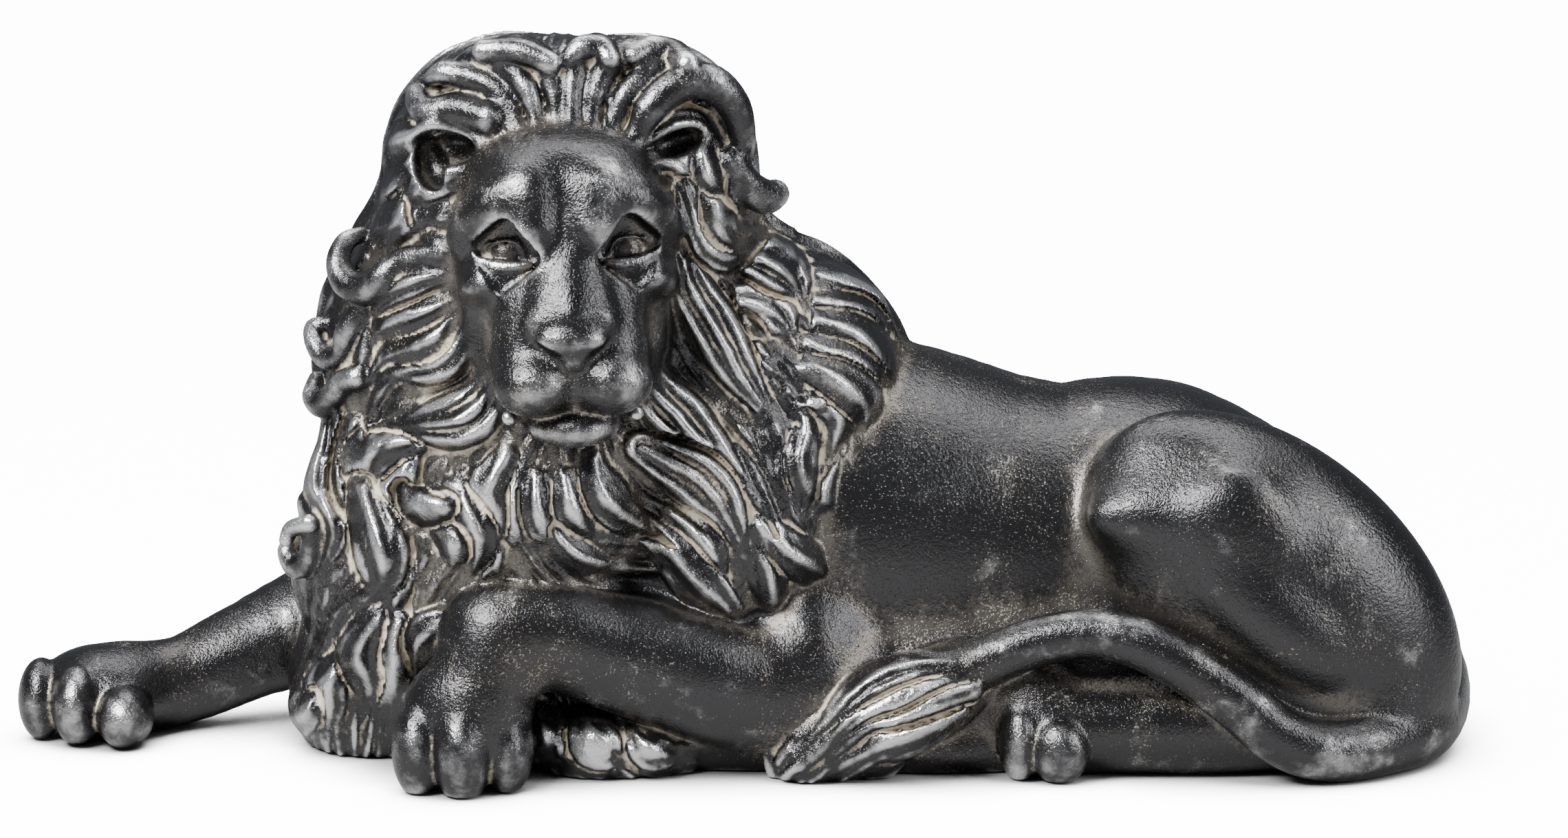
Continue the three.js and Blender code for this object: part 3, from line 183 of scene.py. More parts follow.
# A lock: across, up and heading where it starts, the same where it ends, half width and wave,
# and its ease, tip and strands where they differ from the usual ones.
LOCKS = [
    # rear edge, right
    [(54.5, 34.5, -5, 60.5, 26.1, -105, 0.81, 0), dict(ease=0.55)],
    [(54.6, 32.6, 0, 60.8, 25.1, -60, 0.73, 0), dict(ease=0.6)],
    [(54.5, 31.3, -5, 59.7, 22.9, -85, 0.85, 0), dict(ease=0.55)],
    [(54.4, 29.7, -20, 59.1, 23.4, -95, 0.77, 0), dict(ease=0.55)],
    [(56.8, 22.6, -90, 57.6, 18, -70, 0.54, 0.27), dict(strands=1)],
    [(56.2, 21.5, -110, 56.9, 15.8, -60, 0.69, -0.31)],
    [(54.2, 25.3, 30, 55.3, 20.5, 245, 0.85, 0), dict(ease=0.75)],
    [(54.1, 24.6, -80, 55.2, 16.9, -40, 0.73, -0.42)],
    [(54.3, 28.1, -20, 57, 22.1, 225, 1, 0), dict(ease=0.6)],
    # right, beside the cheek
    [(46.6, 35.5, -88, 53.5, 23.9, -75, 1, 0.19), dict(ease=0.5)],
    [(48.5, 32.6, 0, 53.7, 28.6, -75, 1.08, 0), dict(ease=0.5, strands=3)],
    [(49.3, 36.1, -15, 54.4, 31, -75, 1.19, 0), dict(ease=0.5, strands=3)],
    [(47.9, 33.2, -95, 54.1, 26.2, -45, 1.19, 0), dict(ease=0.55, strands=3)],
    [(45.6, 36.3, -88, 52.2, 21.2, -95, 1.19, 0.5), dict(strands=3)],
    [(49.9, 31.7, -50, 52.4, 29.9, -10, 0.42, 0), dict(strands=1)],
    # right, low
    [(51, 15.7, -70, 53.9, 9.1, -45, 0.65, 0.19)],
    [(51.2, 17.2, -50, 54.5, 11.8, 200, 0.96, 0), dict(ease=0.8)],
    [(42.6, 28.8, -75, 51.7, 16.3, -80, 1.27, 0.5), dict(strands=3)],
    [(42.8, 22.6, -30, 50, 13, -92, 1.27, 0.23), dict(strands=3)],
    [(44.9, 18, -35, 48.4, 11.1, -85, 0.85, 0)],
    [(43.3, 16.7, -25, 52.6, 9, 0, 1, -0.5), dict(ease=0.45)],
    # throat and chest
    [(34, 20.5, -95, 35.5, 14.7, -50, 0.86, 0)],
    [(35.5, 20.5, -90, 38, 15.5, -20, 0.81, 0)],
    [(37.7, 20.5, -85, 40.9, 16.1, -15, 0.86, 0)],
    [(37, 16.8, -60, 42.5, 14.7, 5, 0.66, 0)],
    [(39.5, 21.6, -80, 45.1, 15.7, -35, 0.96, 0)],
    [(31.9, 20.8, -110, 30.2, 10.7, -125, 0.96, -0.66)],
    [(33.5, 22.1, -115, 31.9, 13.5, -95, 0.91, -0.51)],
    [(29.9, 19.8, -60, 30, 11.5, -115, 0.86, 0), dict(ease=0.6)],
    # left, low
    [(21.1, 24.6, -95, 20.4, 11.8, -95, 1.31, -0.91), dict(strands=3)],
    [(23, 24.1, -95, 23.2, 16, -75, 0.91, 0.2)],
    [(28.7, 17.3, -40, 28.9, 13.1, -130, 0.71, 0), dict(ease=0.6, strands=1)],
    [(26.5, 21.8, -105, 26.1, 8.1, -70, 1.16, -1.11)],
    [(27, 23.1, 185, 24.1, 17.3, -75, 1.11, 0), dict(ease=0.6)],
    [(23.5, 19.8, -75, 22, 11.3, -160, 1.16, 0), dict(ease=0.62)],
    [(26.3, 19.7, -60, 28.5, 19.6, 165, 0.81, 0), dict(ease=1.25, tip=0.5, strands=1)],
    # between the forelegs
    [(22.3, 7.9, -120, 21.3, 1.9, -80, 0.96, -0.3)],
    [(26.1, 10.4, -110, 25.4, 2.1, -110, 1.06, 0.3)],
    [(24.5, 10.7, -115, 23.5, 2.9, -95, 0.91, -0.51)],
    [(20.1, 5.4, -120, 19.3, 2.1, -80, 0.86, 0)],
    [(30.9, 10.6, 190, 27.5, 5.5, -80, 0.96, 0), dict(ease=0.6)],
    [(35.5, 4.9, -60, 37.5, 0.7, -20, 1.11, 0)],
    [(39, 3.9, -80, 42, 0.7, -30, 1.11, 0)],
    [(42.5, 2.9, -60, 46.3, 1.4, -5, 0.91, 0)],
    # left, beside the cheek
    [(28.6, 45.4, 200, 25.4, 41, -100, 0.7, 0)],
    [(27.4, 44.6, 215, 24.7, 42, -95, 0.6, 0)],
    [(27.7, 41.3, 205, 24.6, 39.3, -110, 0.57, 0)],
    [(26.3, 41.3, 230, 24.4, 37.9, -105, 0.59, 0)],
    [(26.8, 39.7, 240, 24.6, 35.5, -110, 0.79, 0)],
    [(29.8, 36.7, 180, 26.8, 36.5, 190, 0.48, 0), dict(strands=1)],
    [(30.7, 38.5, 190, 27.5, 37.8, 215, 0.57, 0)],
    [(31.4, 41.7, 200, 27, 37.7, -80, 0.76, 0), dict(ease=0.55)],
    [(23.7, 32.4, -120, 22.7, 27.8, -95, 0.62, 0)],
    [(32.6, 27.3, -110, 23.9, 23.7, 195, 1.3, 0), dict(ease=0.5, strands=3)],
    [(30.4, 31.2, -100, 23.8, 26.7, 215, 1.07, 0), dict(ease=0.5, strands=3)],
    [(29.8, 31.8, -120, 23.6, 27.4, 225, 0.82, 0), dict(ease=0.5)],
    [(29.5, 32.5, 200, 23.5, 28.3, -110, 0.79, 0), dict(ease=0.5)],
    [(29.1, 34.5, 190, 23.5, 29.4, -100, 0.88, 0), dict(ease=0.5, strands=3)],
    [(24, 31.4, -105, 23.8, 23.3, -85, 0.45, 0.08)],
    # crest
    [(33.4, 44.6, 125, 28, 46, 205, 0.77, 0), dict(ease=0.55, strands=3)],
    [(33.8, 44.3, 115, 28.6, 47.3, 200, 0.81, 0), dict(ease=0.6, strands=3)],
    [(34.5, 44, 108, 28, 48, 225, 0.9, 0), dict(ease=0.6, tip=0.5, strands=3)],
    [(35.3, 43.8, 100, 29.8, 49.6, 205, 0.94, 0), dict(ease=0.6, tip=0.4, strands=3)],
    [(36.2, 43.8, 95, 31.3, 50.8, 190, 0.99, 0), dict(ease=0.65, tip=0.5, strands=3)],
    [(37.1, 43.8, 92, 33.2, 51.3, 175, 0.99, 0), dict(ease=0.6, tip=0.6, strands=3)],
    [(41.1, 43.6, 80, 45.6, 50.5, -25, 0.99, 0), dict(ease=0.6, tip=0.6, strands=3)],
    [(40.1, 43.8, 84, 43.1, 51.1, 20, 0.94, 0), dict(ease=0.55, tip=0.6, strands=3)],
    [(39, 43.8, 88, 41.3, 50.8, 10, 0.9, 0), dict(ease=0.55, tip=0.5, strands=3)],
    [(38, 43.8, 90, 40.2, 51.1, -15, 0.99, 0), dict(ease=0.6, tip=0.6, strands=3)],
    [(41.9, 43.3, 75, 47.8, 48.8, -40, 0.94, 0), dict(ease=0.6, tip=0.5, strands=3)],
    [(42.3, 43, 62, 50.4, 42.8, -78, 1.2, 0), dict(ease=0.75, tip=0.35, strands=4)],
    [(42.5, 42.7, 48, 48.8, 41.9, -72, 0.86, 0), dict(ease=0.65, strands=3)],
    [(42.8, 41.9, 15, 47.6, 37, -60, 0.9, 0), dict(ease=0.6, strands=3)],
    [(43.5, 40.8, -10, 45.8, 35.7, -75, 0.73, 0), dict(ease=0.5)],
    [(45.8, 40.4, -70, 52.3, 38.1, 50, 0.9, 0), dict(ease=0.8, strands=3)],
    [(47.6, 41.7, -80, 51.4, 37.4, 30, 0.77, 0), dict(ease=0.7)],
    [(49.3, 42.3, -85, 52.1, 39.6, 20, 0.77, 0), dict(ease=0.65)],
    [(46.9, 43.4, -80, 49.5, 38.7, -50, 0.64, 0), dict(ease=0.5)],
    # tail tuft
    [(65, 4.5, 200, 56.3, 0.5, 205, 1.09, 0), dict(ease=0.5, tip=0.3)],
    [(65.4, 6.1, 190, 55.8, 1.2, 225, 1.12, 0), dict(ease=0.55, tip=0.3, strands=3)],
    [(65, 7.4, 185, 53.6, 0.7, 215, 1.02, 0.3), dict(ease=0.55, tip=0.4, strands=3)],
    [(64.3, 7.9, 178, 53.2, 1.2, 225, 0.91, 0), dict(ease=0.5, tip=0.4, strands=3)],
]

# Curls and locks that stand out of the mane's outline: rows of across, up, radius.
CURLS = [
    # crest, left
    [(37.1, 44.9, 0.4), (36.7, 47.5, 0.8), (35.9, 49.4, 0.95), (34.2, 50.2, 0.85), (32.6, 50.2, 0.5)],
    [(35.6, 44.9, 0.4), (34.9, 47.3, 0.8), (33.4, 48.9, 0.95), (31.7, 49.4, 0.85), (30.4, 49, 0.5)],
    [(34.1, 44.9, 0.4), (33, 47.1, 0.8), (31, 48, 0.95), (29.3, 48.3, 0.85), (28.3, 47.9, 0.5)],
    # crest, right
    [(38, 44.3, 0.4), (38.1, 47.5, 0.8), (38.7, 49.5, 0.95), (39.7, 50.3, 0.8), (40.6, 50.2, 0.5)],
    [(39.3, 44.3, 0.4), (39.6, 46.8, 0.8), (40.6, 48.9, 0.95), (42.1, 49.8, 0.8), (43.1, 49.5, 0.5)],
    [(40.7, 44.3, 0.4), (41.6, 46.6, 0.8), (43.3, 48.3, 0.9), (45, 48.8, 0.7), (46.3, 48.5, 0.5)],
    # band over the right ear
    [(42.2, 43.2, 0.5), (43.4, 45.8, 1.1), (45.6, 47.6, 1.25), (47.7, 47.6, 1.25), (49.2, 46, 1.15),
     (49.8, 43.8, 0.9), (49.9, 42.3, 0.5)],
    # left edge
    [(29.5, 36, 0.9), (27.7, 35.7, 0.9), (26.3, 35.2, 1), (25.1, 34.2, 1.1), (23.9, 33.5, 1.15),
     (22.6, 33.9, 1.05), (22, 35.3, 0.85), (22.5, 36.7, 0.7), (23.6, 37.2, 0.55)],
    [(23.6, 31.9, 0.9), (22.6, 30.4, 0.9), (22.3, 29, 0.8), (21.2, 28.7, 0.8), (20.4, 29.7, 0.7),
     (20.3, 30.8, 0.65), (21.2, 31.1, 0.5)],
    [(23.3, 27.4, 0.8), (22.5, 27.1, 0.9), (21.8, 26.3, 0.95), (21, 25.5, 0.95), (20.4, 26.1, 0.9),
     (20.6, 27.2, 0.7)],
    [(20.3, 17.3, 0.8), (20.1, 15.1, 0.9), (19.1, 14.4, 0.85), (18.5, 15.5, 0.7), (19.1, 16.1, 0.5)],
    [(20, 17.4, 0.6), (18.8, 17, 0.6), (18.4, 16.2, 0.5)],
    # left temple
    [(32.3, 45.2, 1.1), (30.4, 45.8, 1.2), (28.8, 45.6, 1.1), (27.9, 45.8, 1), (27.5, 46.7, 0.9),
     (28.3, 47.3, 0.7)],
    # rim of the left ear
    [(26.9, 43.9, 0.35), (28.4, 44.8, 0.42), (30.4, 44.4, 0.42), (31.7, 43.2, 0.45), (31, 42, 0.42),
     (29.2, 41.4, 0.35), (27.7, 40.5, 0.3)],
    # right temple
    [(49, 42.3, 1), (50, 40.6, 1.2), (51.3, 39.8, 1.2), (52, 40, 1)],
    # top
    [(36.5, 49, 0.8), (34.5, 49.8, 0.9), (32, 49.8, 0.8)],
    [(37.8, 49.2, 0.7), (38.8, 50, 0.9), (40, 50, 0.9), (40.6, 49.3, 0.7)],
    [(42.3, 49.5, 0.7), (43.6, 49.9, 1), (45.1, 49.6, 1), (46, 48.9, 0.8)],
]
CURL_BLEND = 0.3
CURL_DEEPENS = 1.2  # how much further back a row may lie than the one before it

# An ear's hollow: across, up, radii, tilt.
EARS = [
    (28.3, 42.1, (1.3, 2.6, 1.9), -20), (29.7, 43.1, (1.7, 2.5, 1), 0),
    (45.5, 43.5, (1.9, 1.9, 0.9), -15),
]
EAR_BLEND = 0.35

# The face, in the head's own axes: x right, y back, z up. A pair is made on both sides.
FACE = [
    dict(egg=[(0, -1.8, -0.5), (7.3, 7.4, 7.6)], blend=0.8),
    dict(egg=[(0, -4.4, 2.6), (6.4, 5, 4.6)], power=2.3, blend=1.5),  # forehead
    dict(egg=[(0, -3.2, -4.5), (6.9, 6.3, 8.1)], power=2.6, blend=1.5),
    dict(egg=[(0, -6.6, -6.8), (5, 5.2, 5.4)], power=2.4, blend=1.2),  # muzzle
    dict(pair=True, egg=[(5.3, -6, -2.3), (1.9, 2.5, 1.4), (0, 25, 0)], blend=1),  # cheekbone
    dict(pair=True, cut=True, egg=[(6.3, -8.7, -5.6), (1.7, 2, 2.4)], blend=1.4),  # hollow of the cheek
    dict(pair=True, limb=[(2, -7.1, -1.2, 1.6), (2.4, -8, -4, 2.2), (2.6, -8.8, -6.6, 2.5)],
         blend=1.2),  # sides of the nose
    dict(limb=[(0, -8.2, 1, 1.4), (0, -9.3, -1.4, 1.8), (0, -10.7, -4, 2)], blend=1),  # bridge of the nose
    dict(pair=True, limb=[(0.5, -8.8, 0, 0.8), (1.25, -9.8, -2, 1), (1.8, -11, -4.2, 1)], blend=1.1),
    dict(pair=True, egg=[(2.5, -10.4, -8.3), (2.75, 2.7, 2.3), (0, 8, 0)], blend=0.7),  # whisker pads
    dict(pair=True, limb=[(2.8, -7.9, 3.6, 1.7), (4.3, -7.4, 3, 1.8), (5.6, -6.1, 1.9, 1.7),
                          (6.5, -4.5, 0.4, 1.3)], blend=1),  # brow
    dict(limb=[(1.8, -7.3, 3.6, 2.4), (1.5, -8.5, 1.8, 1.9), (1.15, -9.5, -0.1, 0.6)], blend=0.7),  # frown
    dict(limb=[(-2.6, -7.3, 3.6, 2.4), (-2.4, -8.5, 1.7, 1.9), (-2.1, -9.5, -0.6, 0.6)], blend=0.7),
    dict(pair=True, cut=True, egg=[(4.35, -9.2, -0.1), (2.15, 2.3, 2.05), (0, 40, 16)], power=5,
         blend=0.08),  # eye sockets
    dict(pair=True, cut=True, limb=[(2.9, -9.6, -0.4, 0.8), (5.2, -8.9, -0.1, 0.8), (6.8, -7.3, -0.2, 0.5)],
         blend=0.1),
    dict(pair=True, egg=[(3.9, -6.5, -0.25), (1.1, 0.9, 0.68)], blend=0.15),  # eyes
    dict(pair=True, limb=[(2.7, -7.5, -0.5, 0.12), (3.3, -7.3, 0.4, 0.16), (4.5, -7.1, 0.5, 0.16),
                          (5.8, -6.3, -0.1, 0.12)], blend=0.1),  # upper lids
    dict(pair=True, limb=[(2.5, -8.2, -0.9, 0.25), (3.5, -8.1, -1, 0.3), (4.8, -7.7, -0.95, 0.3),
                          (6.2, -6.7, -0.5, 0.2)], blend=0.15),  # lower lids
    dict(pair=True, egg=[(4, -7, -2.2), (2.5, 1.4, 1.4)], blend=0.7),
    dict(cut=True, limb=[(-0.5, -9.7, 3.4, 0.2), (-0.45, -10.4, 2, 0.4), (-0.45, -10.6, 0.7, 0.35)],
         blend=0.4),  # furrow of the brow
    dict(egg=[(-0.1, -11.9, -5.2), (2.3, 1.2, 1.2), (-15, 0, 0)], blend=0.3),  # nose
    dict(egg=[(0, -12, -6.3), (1.3, 0.8, 1)], blend=0.4),
    dict(pair=True, cut=True, limb=[(0.3, -12.9, -7.3, 0.35), (1.4, -12.8, -6.5, 0.6),
                                    (2.6, -12.1, -5.7, 0.5)], blend=0.15),  # nostrils
    dict(cut=True, limb=[(0, -12.9, -7.2, 0.3), (0.1, -12.8, -8.6, 0.42), (0.1, -12.1, -9.8, 0.45)],
         blend=0.25),  # cleft of the lip
    dict(egg=[(0.1, -8.8, -11.5), (3.1, 3, 1.6)], blend=0.2),  # chin
    dict(pair=True, cut=True, limb=[(0.1, -12.4, -9.8, 0.35), (1.7, -12.2, -10.6, 0.35),
                                    (3.2, -10.9, -10.7, 0.35), (4.4, -9, -10.9, 0.3)], blend=0.2),  # mouth
    dict(pair=True, egg=[(4.2, -9, -11), (0.5, 0.5, 0.5)], blend=0.1),  # its corners
]


def turned(turn):
    """The rotation that turns about x, then y, then z."""
    ax, ay, az = (math.radians(a) for a in turn)
    about_x = np.array([[1, 0, 0], [0, math.cos(ax), -math.sin(ax)], [0, math.sin(ax), math.cos(ax)]])
    about_y = np.array([[math.cos(ay), 0, math.sin(ay)], [0, 1, 0], [-math.sin(ay), 0, math.cos(ay)]])
    about_z = np.array([[math.cos(az), -math.sin(az), 0], [math.sin(az), math.cos(az), 0], [0, 0, 1]])
    return about_z @ about_y @ about_x


class Egg:
    """An ellipsoid mass."""

    def __init__(self, centre, radii, turn=(0, 0, 0), at=(0, 0, 0), axes=np.eye(3), power=2.0):
        self.power = power
        self.centre = np.array(at) + axes @ np.array(centre, float)
        self.axes = axes @ turned(turn)
        self.radii = np.array(radii, float)
        spread = np.abs(self.axes * self.radii)
        half = spread.sum(1) if power > 2 else np.sqrt((spread ** 2).sum(1))
        self.low, self.high = self.centre - half, self.centre + half

    def distance(self, x, y, z):
        x, y, z = x - self.centre[0], y - self.centre[1], z - self.centre[2]
        near = far = 0
        for i, radius in enumerate(self.radii):
            q = np.abs(x * self.axes[0, i] + y * self.axes[1, i] + z * self.axes[2, i]) / radius + 1e-6
            near = near + q ** self.power
            far = far + (q ** (self.power - 1) / radius) ** 2
        near = near ** (1 / self.power)
        return (near - 1) * near ** (self.power - 1) / np.sqrt(far)


class Limb:
    """A tapering limb along a smooth line of points, each with its radius."""

    def __init__(self, rows, narrow=1.0, at=(0, 0, 0), axes=np.eye(3), steps=5):
        rows = np.array(rows, float)
        rows[:, :3] = np.array(at) + rows[:, :3] @ axes.T
        ends = np.vstack([2 * rows[0] - rows[1], rows, 2 * rows[-1] - rows[-2]])
        line = []
        for i in range(1, len(ends) - 2):
            a, b, c, d = ends[i - 1:i + 3]
            for t in np.linspace(0, 1, steps, endpoint=False):
                bend, twist = 2 * a - 5 * b + 4 * c - d, 3 * b - a - 3 * c + d
                point = 0.5 * (2 * b + (c - a) * t + bend * t ** 2 + twist * t ** 3)
                point[3] = b[3] + (c[3] - b[3]) * t
                line.append(point)
        line = np.array(line + [rows[-1]])
        self.points, self.radii, self.narrow = line[:, :3], line[:, 3], narrow
        self.low = (self.points - self.radii[:, None]).min(0)
        self.high = (self.points + self.radii[:, None]).max(0)

    def distance(self, x, y, z):
        y = y / self.narrow
        points = self.points / (1, self.narrow, 1)
        best = None
        for a, b, ra, rb in zip(points, points[1:], self.radii, self.radii[1:]):
            e = b - a
            t = np.clip(((x - a[0]) * e[0] + (y - a[1]) * e[1] + (z - a[2]) * e[2]) / (e @ e), 0, 1)
            d = np.sqrt((x - a[0] - t * e[0]) ** 2 + (y - a[1] - t * e[1]) ** 2 + (z - a[2] - t * e[2]) ** 2)
            d -= ra + (rb - ra) * t
            best = d if best is None else np.minimum(best, d)
        return best * self.narrow


def smooth_min(a, b, blend):
    near = np.maximum(blend - np.abs(a - b), 0) / blend
    return np.minimum(a, b) - near * near * (blend / 4)


class Clay:
    """The field: values on a grid, negative inside the metal."""

    def __init__(self, low, high, step):
        self.low, self.step = np.array(low, float), step
        self.size = np.ceil((np.array(high) - self.low) / step).astype(int) + 1
        self.value = np.full(tuple(self.size), FAR, np.float32)

    def block(self, low, high):
        """The slices of a box of samples, and their x, y, z."""
        start = np.clip(np.floor((low - self.low) / self.step), 0, self.size - 1).astype(int)
        stop = np.clip(np.ceil((high - self.low) / self.step) + 1, 1, self.size).astype(int)
        x, y, z = ((self.low[i] + self.step * np.arange(start[i], stop[i])).astype(np.float32)
                   for i in range(3))
        where = tuple(slice(a, b) for a, b in zip(start, stop))
        return where, (x[:, None, None], y[None, :, None], z[None, None, :])

    def merge(self, part, blend, cut=False):
        pad = max(blend, 1.0) + self.step
        where, grid = self.block(part.low - pad, part.high + pad)
        sign = -1 if cut else 1
        self.value[where] = sign * smooth_min(sign * self.value[where], part.distance(*grid), blend)

    def sample(self, points):
        q = np.clip((points - self.low) / self.step, 0, self.size - 1.001)
        cell = q.astype(int)
        t = q - cell
        total = np.zeros(len(points))
        for corner in np.ndindex(2, 2, 2):
            weight = np.prod(np.where(corner, t, 1 - t), axis=1)
            i, j, k = (cell + corner).T
            total += weight * self.value[i, j, k]
        return total

    def skin(self):
        """The surface where the field is zero: points and quads that face out."""
        field = np.where(np.abs(self.value) < 1e-4, 1e-4, self.value)
        inside = field < 0
        count = inside.astype(np.uint8)
        for axis in range(3):
            ahead = [slice(None)] * 3
            behind = [slice(None)] * 3
            ahead[axis], behind[axis] = slice(1, None), slice(None, -1)
            count = count[tuple(ahead)] + count[tuple(behind)]
        active = (count > 0) & (count < 8)
        cells = np.argwhere(active)
        number = np.full(active.shape, -1, np.int32)
        number[active] = np.arange(len(cells))
        total, crossings = np.zeros((len(cells), 3)), np.zeros(len(cells))
        for axis in range(3):
            others = [n for n in range(3) if n != axis]
            for du, dv in np.ndindex(2, 2):
                start = np.zeros(3, int)
                start[others] = du, dv
                end = start.copy()
                end[axis] = 1
                a = field[tuple((cells + start).T)]
                b = field[tuple((cells + end).T)]
                cross = (a < 0) != (b < 0)
                point = np.tile(start.astype(float), (len(cells), 1))
                point[:, axis] = a / np.where(cross, a - b, 1)
                total += np.where(cross[:, None], point, 0)
                crossings += cross
        points = self.low + self.step * (cells + total / crossings[:, None])
        quads = []
        for axis in range(3):
            u, v = (axis + 1) % 3, (axis + 2) % 3
            here, there = [slice(1, -1)] * 3, [slice(1, -1)] * 3
            here[axis], there[axis] = slice(None, -1), slice(1, None)
            a, b = inside[tuple(here)], inside[tuple(there)]
            for turn, mask in ((1, a & ~b), (-1, ~a & b)):
                at = np.argwhere(mask)
                at[:, [u, v]] += 1
                ring = []
                for du, dv in ((1, 1), (0, 1), (0, 0), (1, 0))[::turn]:
                    corner = at.copy()
                    corner[:, u] -= du
                    corner[:, v] -= dv
                    ring.append(number[tuple(corner.T)])
                quads.append(np.stack(ring, 1))
        return points, np.concatenate(quads)


def sculpt(clay, masses, at=(0, 0, 0), axes=np.eye(3)):
    """Merges each listed mass, on both sides of the head's middle plane where it is a pair."""
    for mass in masses:
        for side in (-1, 1) if mass.get("pair") else (1,):
            if "egg" in mass:
                centre, radii, *turn = mass["egg"]
                turn = np.array(turn[0] if turn else (0, 0, 0)) * side
                part = Egg(np.array(centre) * (side, 1, 1), radii, turn, at, axes, mass.get("power", 2.0))
            else:
                part = Limb(np.array(mass["limb"]) * (side, 1, 1, 1), mass.get("narrow", 1.0), at, axes)
            clay.merge(part, mass["blend"], mass.get("cut", False))


TO_VIEWER = np.array([0, -math.cos(DRAWN_RISE), math.sin(DRAWN_RISE)])
SHEET_UP = np.array([0, math.sin(DRAWN_RISE), math.cos(DRAWN_RISE)])
EYE = DRAWN_AIM + DRAWN_AWAY * TO_VIEWER


def drawn_at(x, y, z):
    """Where a point shows on the drawing."""
    dx, dy, dz = x - EYE[0], y - EYE[1], z - EYE[2]
    scale = -DRAWN_AWAY / (dy * TO_VIEWER[1] + dz * TO_VIEWER[2])
    return DRAWN_AIM[0] + dx * scale, DRAWN_UP + (dy * SHEET_UP[1] + dz * SHEET_UP[2]) * scale


def on_skin(clay, across, up, until=FIELD_HIGH[1]):
    """The point of the skin that shows at a place on the drawing, or the nearest miss."""
    start = DRAWN_AIM + (across - DRAWN_AIM[0], 0, 0) + (up - DRAWN_UP) * SHEET_UP
    way = (start - EYE) / np.linalg.norm(start - EYE)
    point = start - way * START_BEFORE
    nearest, least = point, np.inf
    while point[1] < until:
        miss = clay.sample(point[None])[0]
        if miss < least:
            nearest, least = point, miss
        if miss <= 0:
            break
        point = point + way * max(miss * SEARCH_STEP, SEARCH_LEAST)
    return nearest


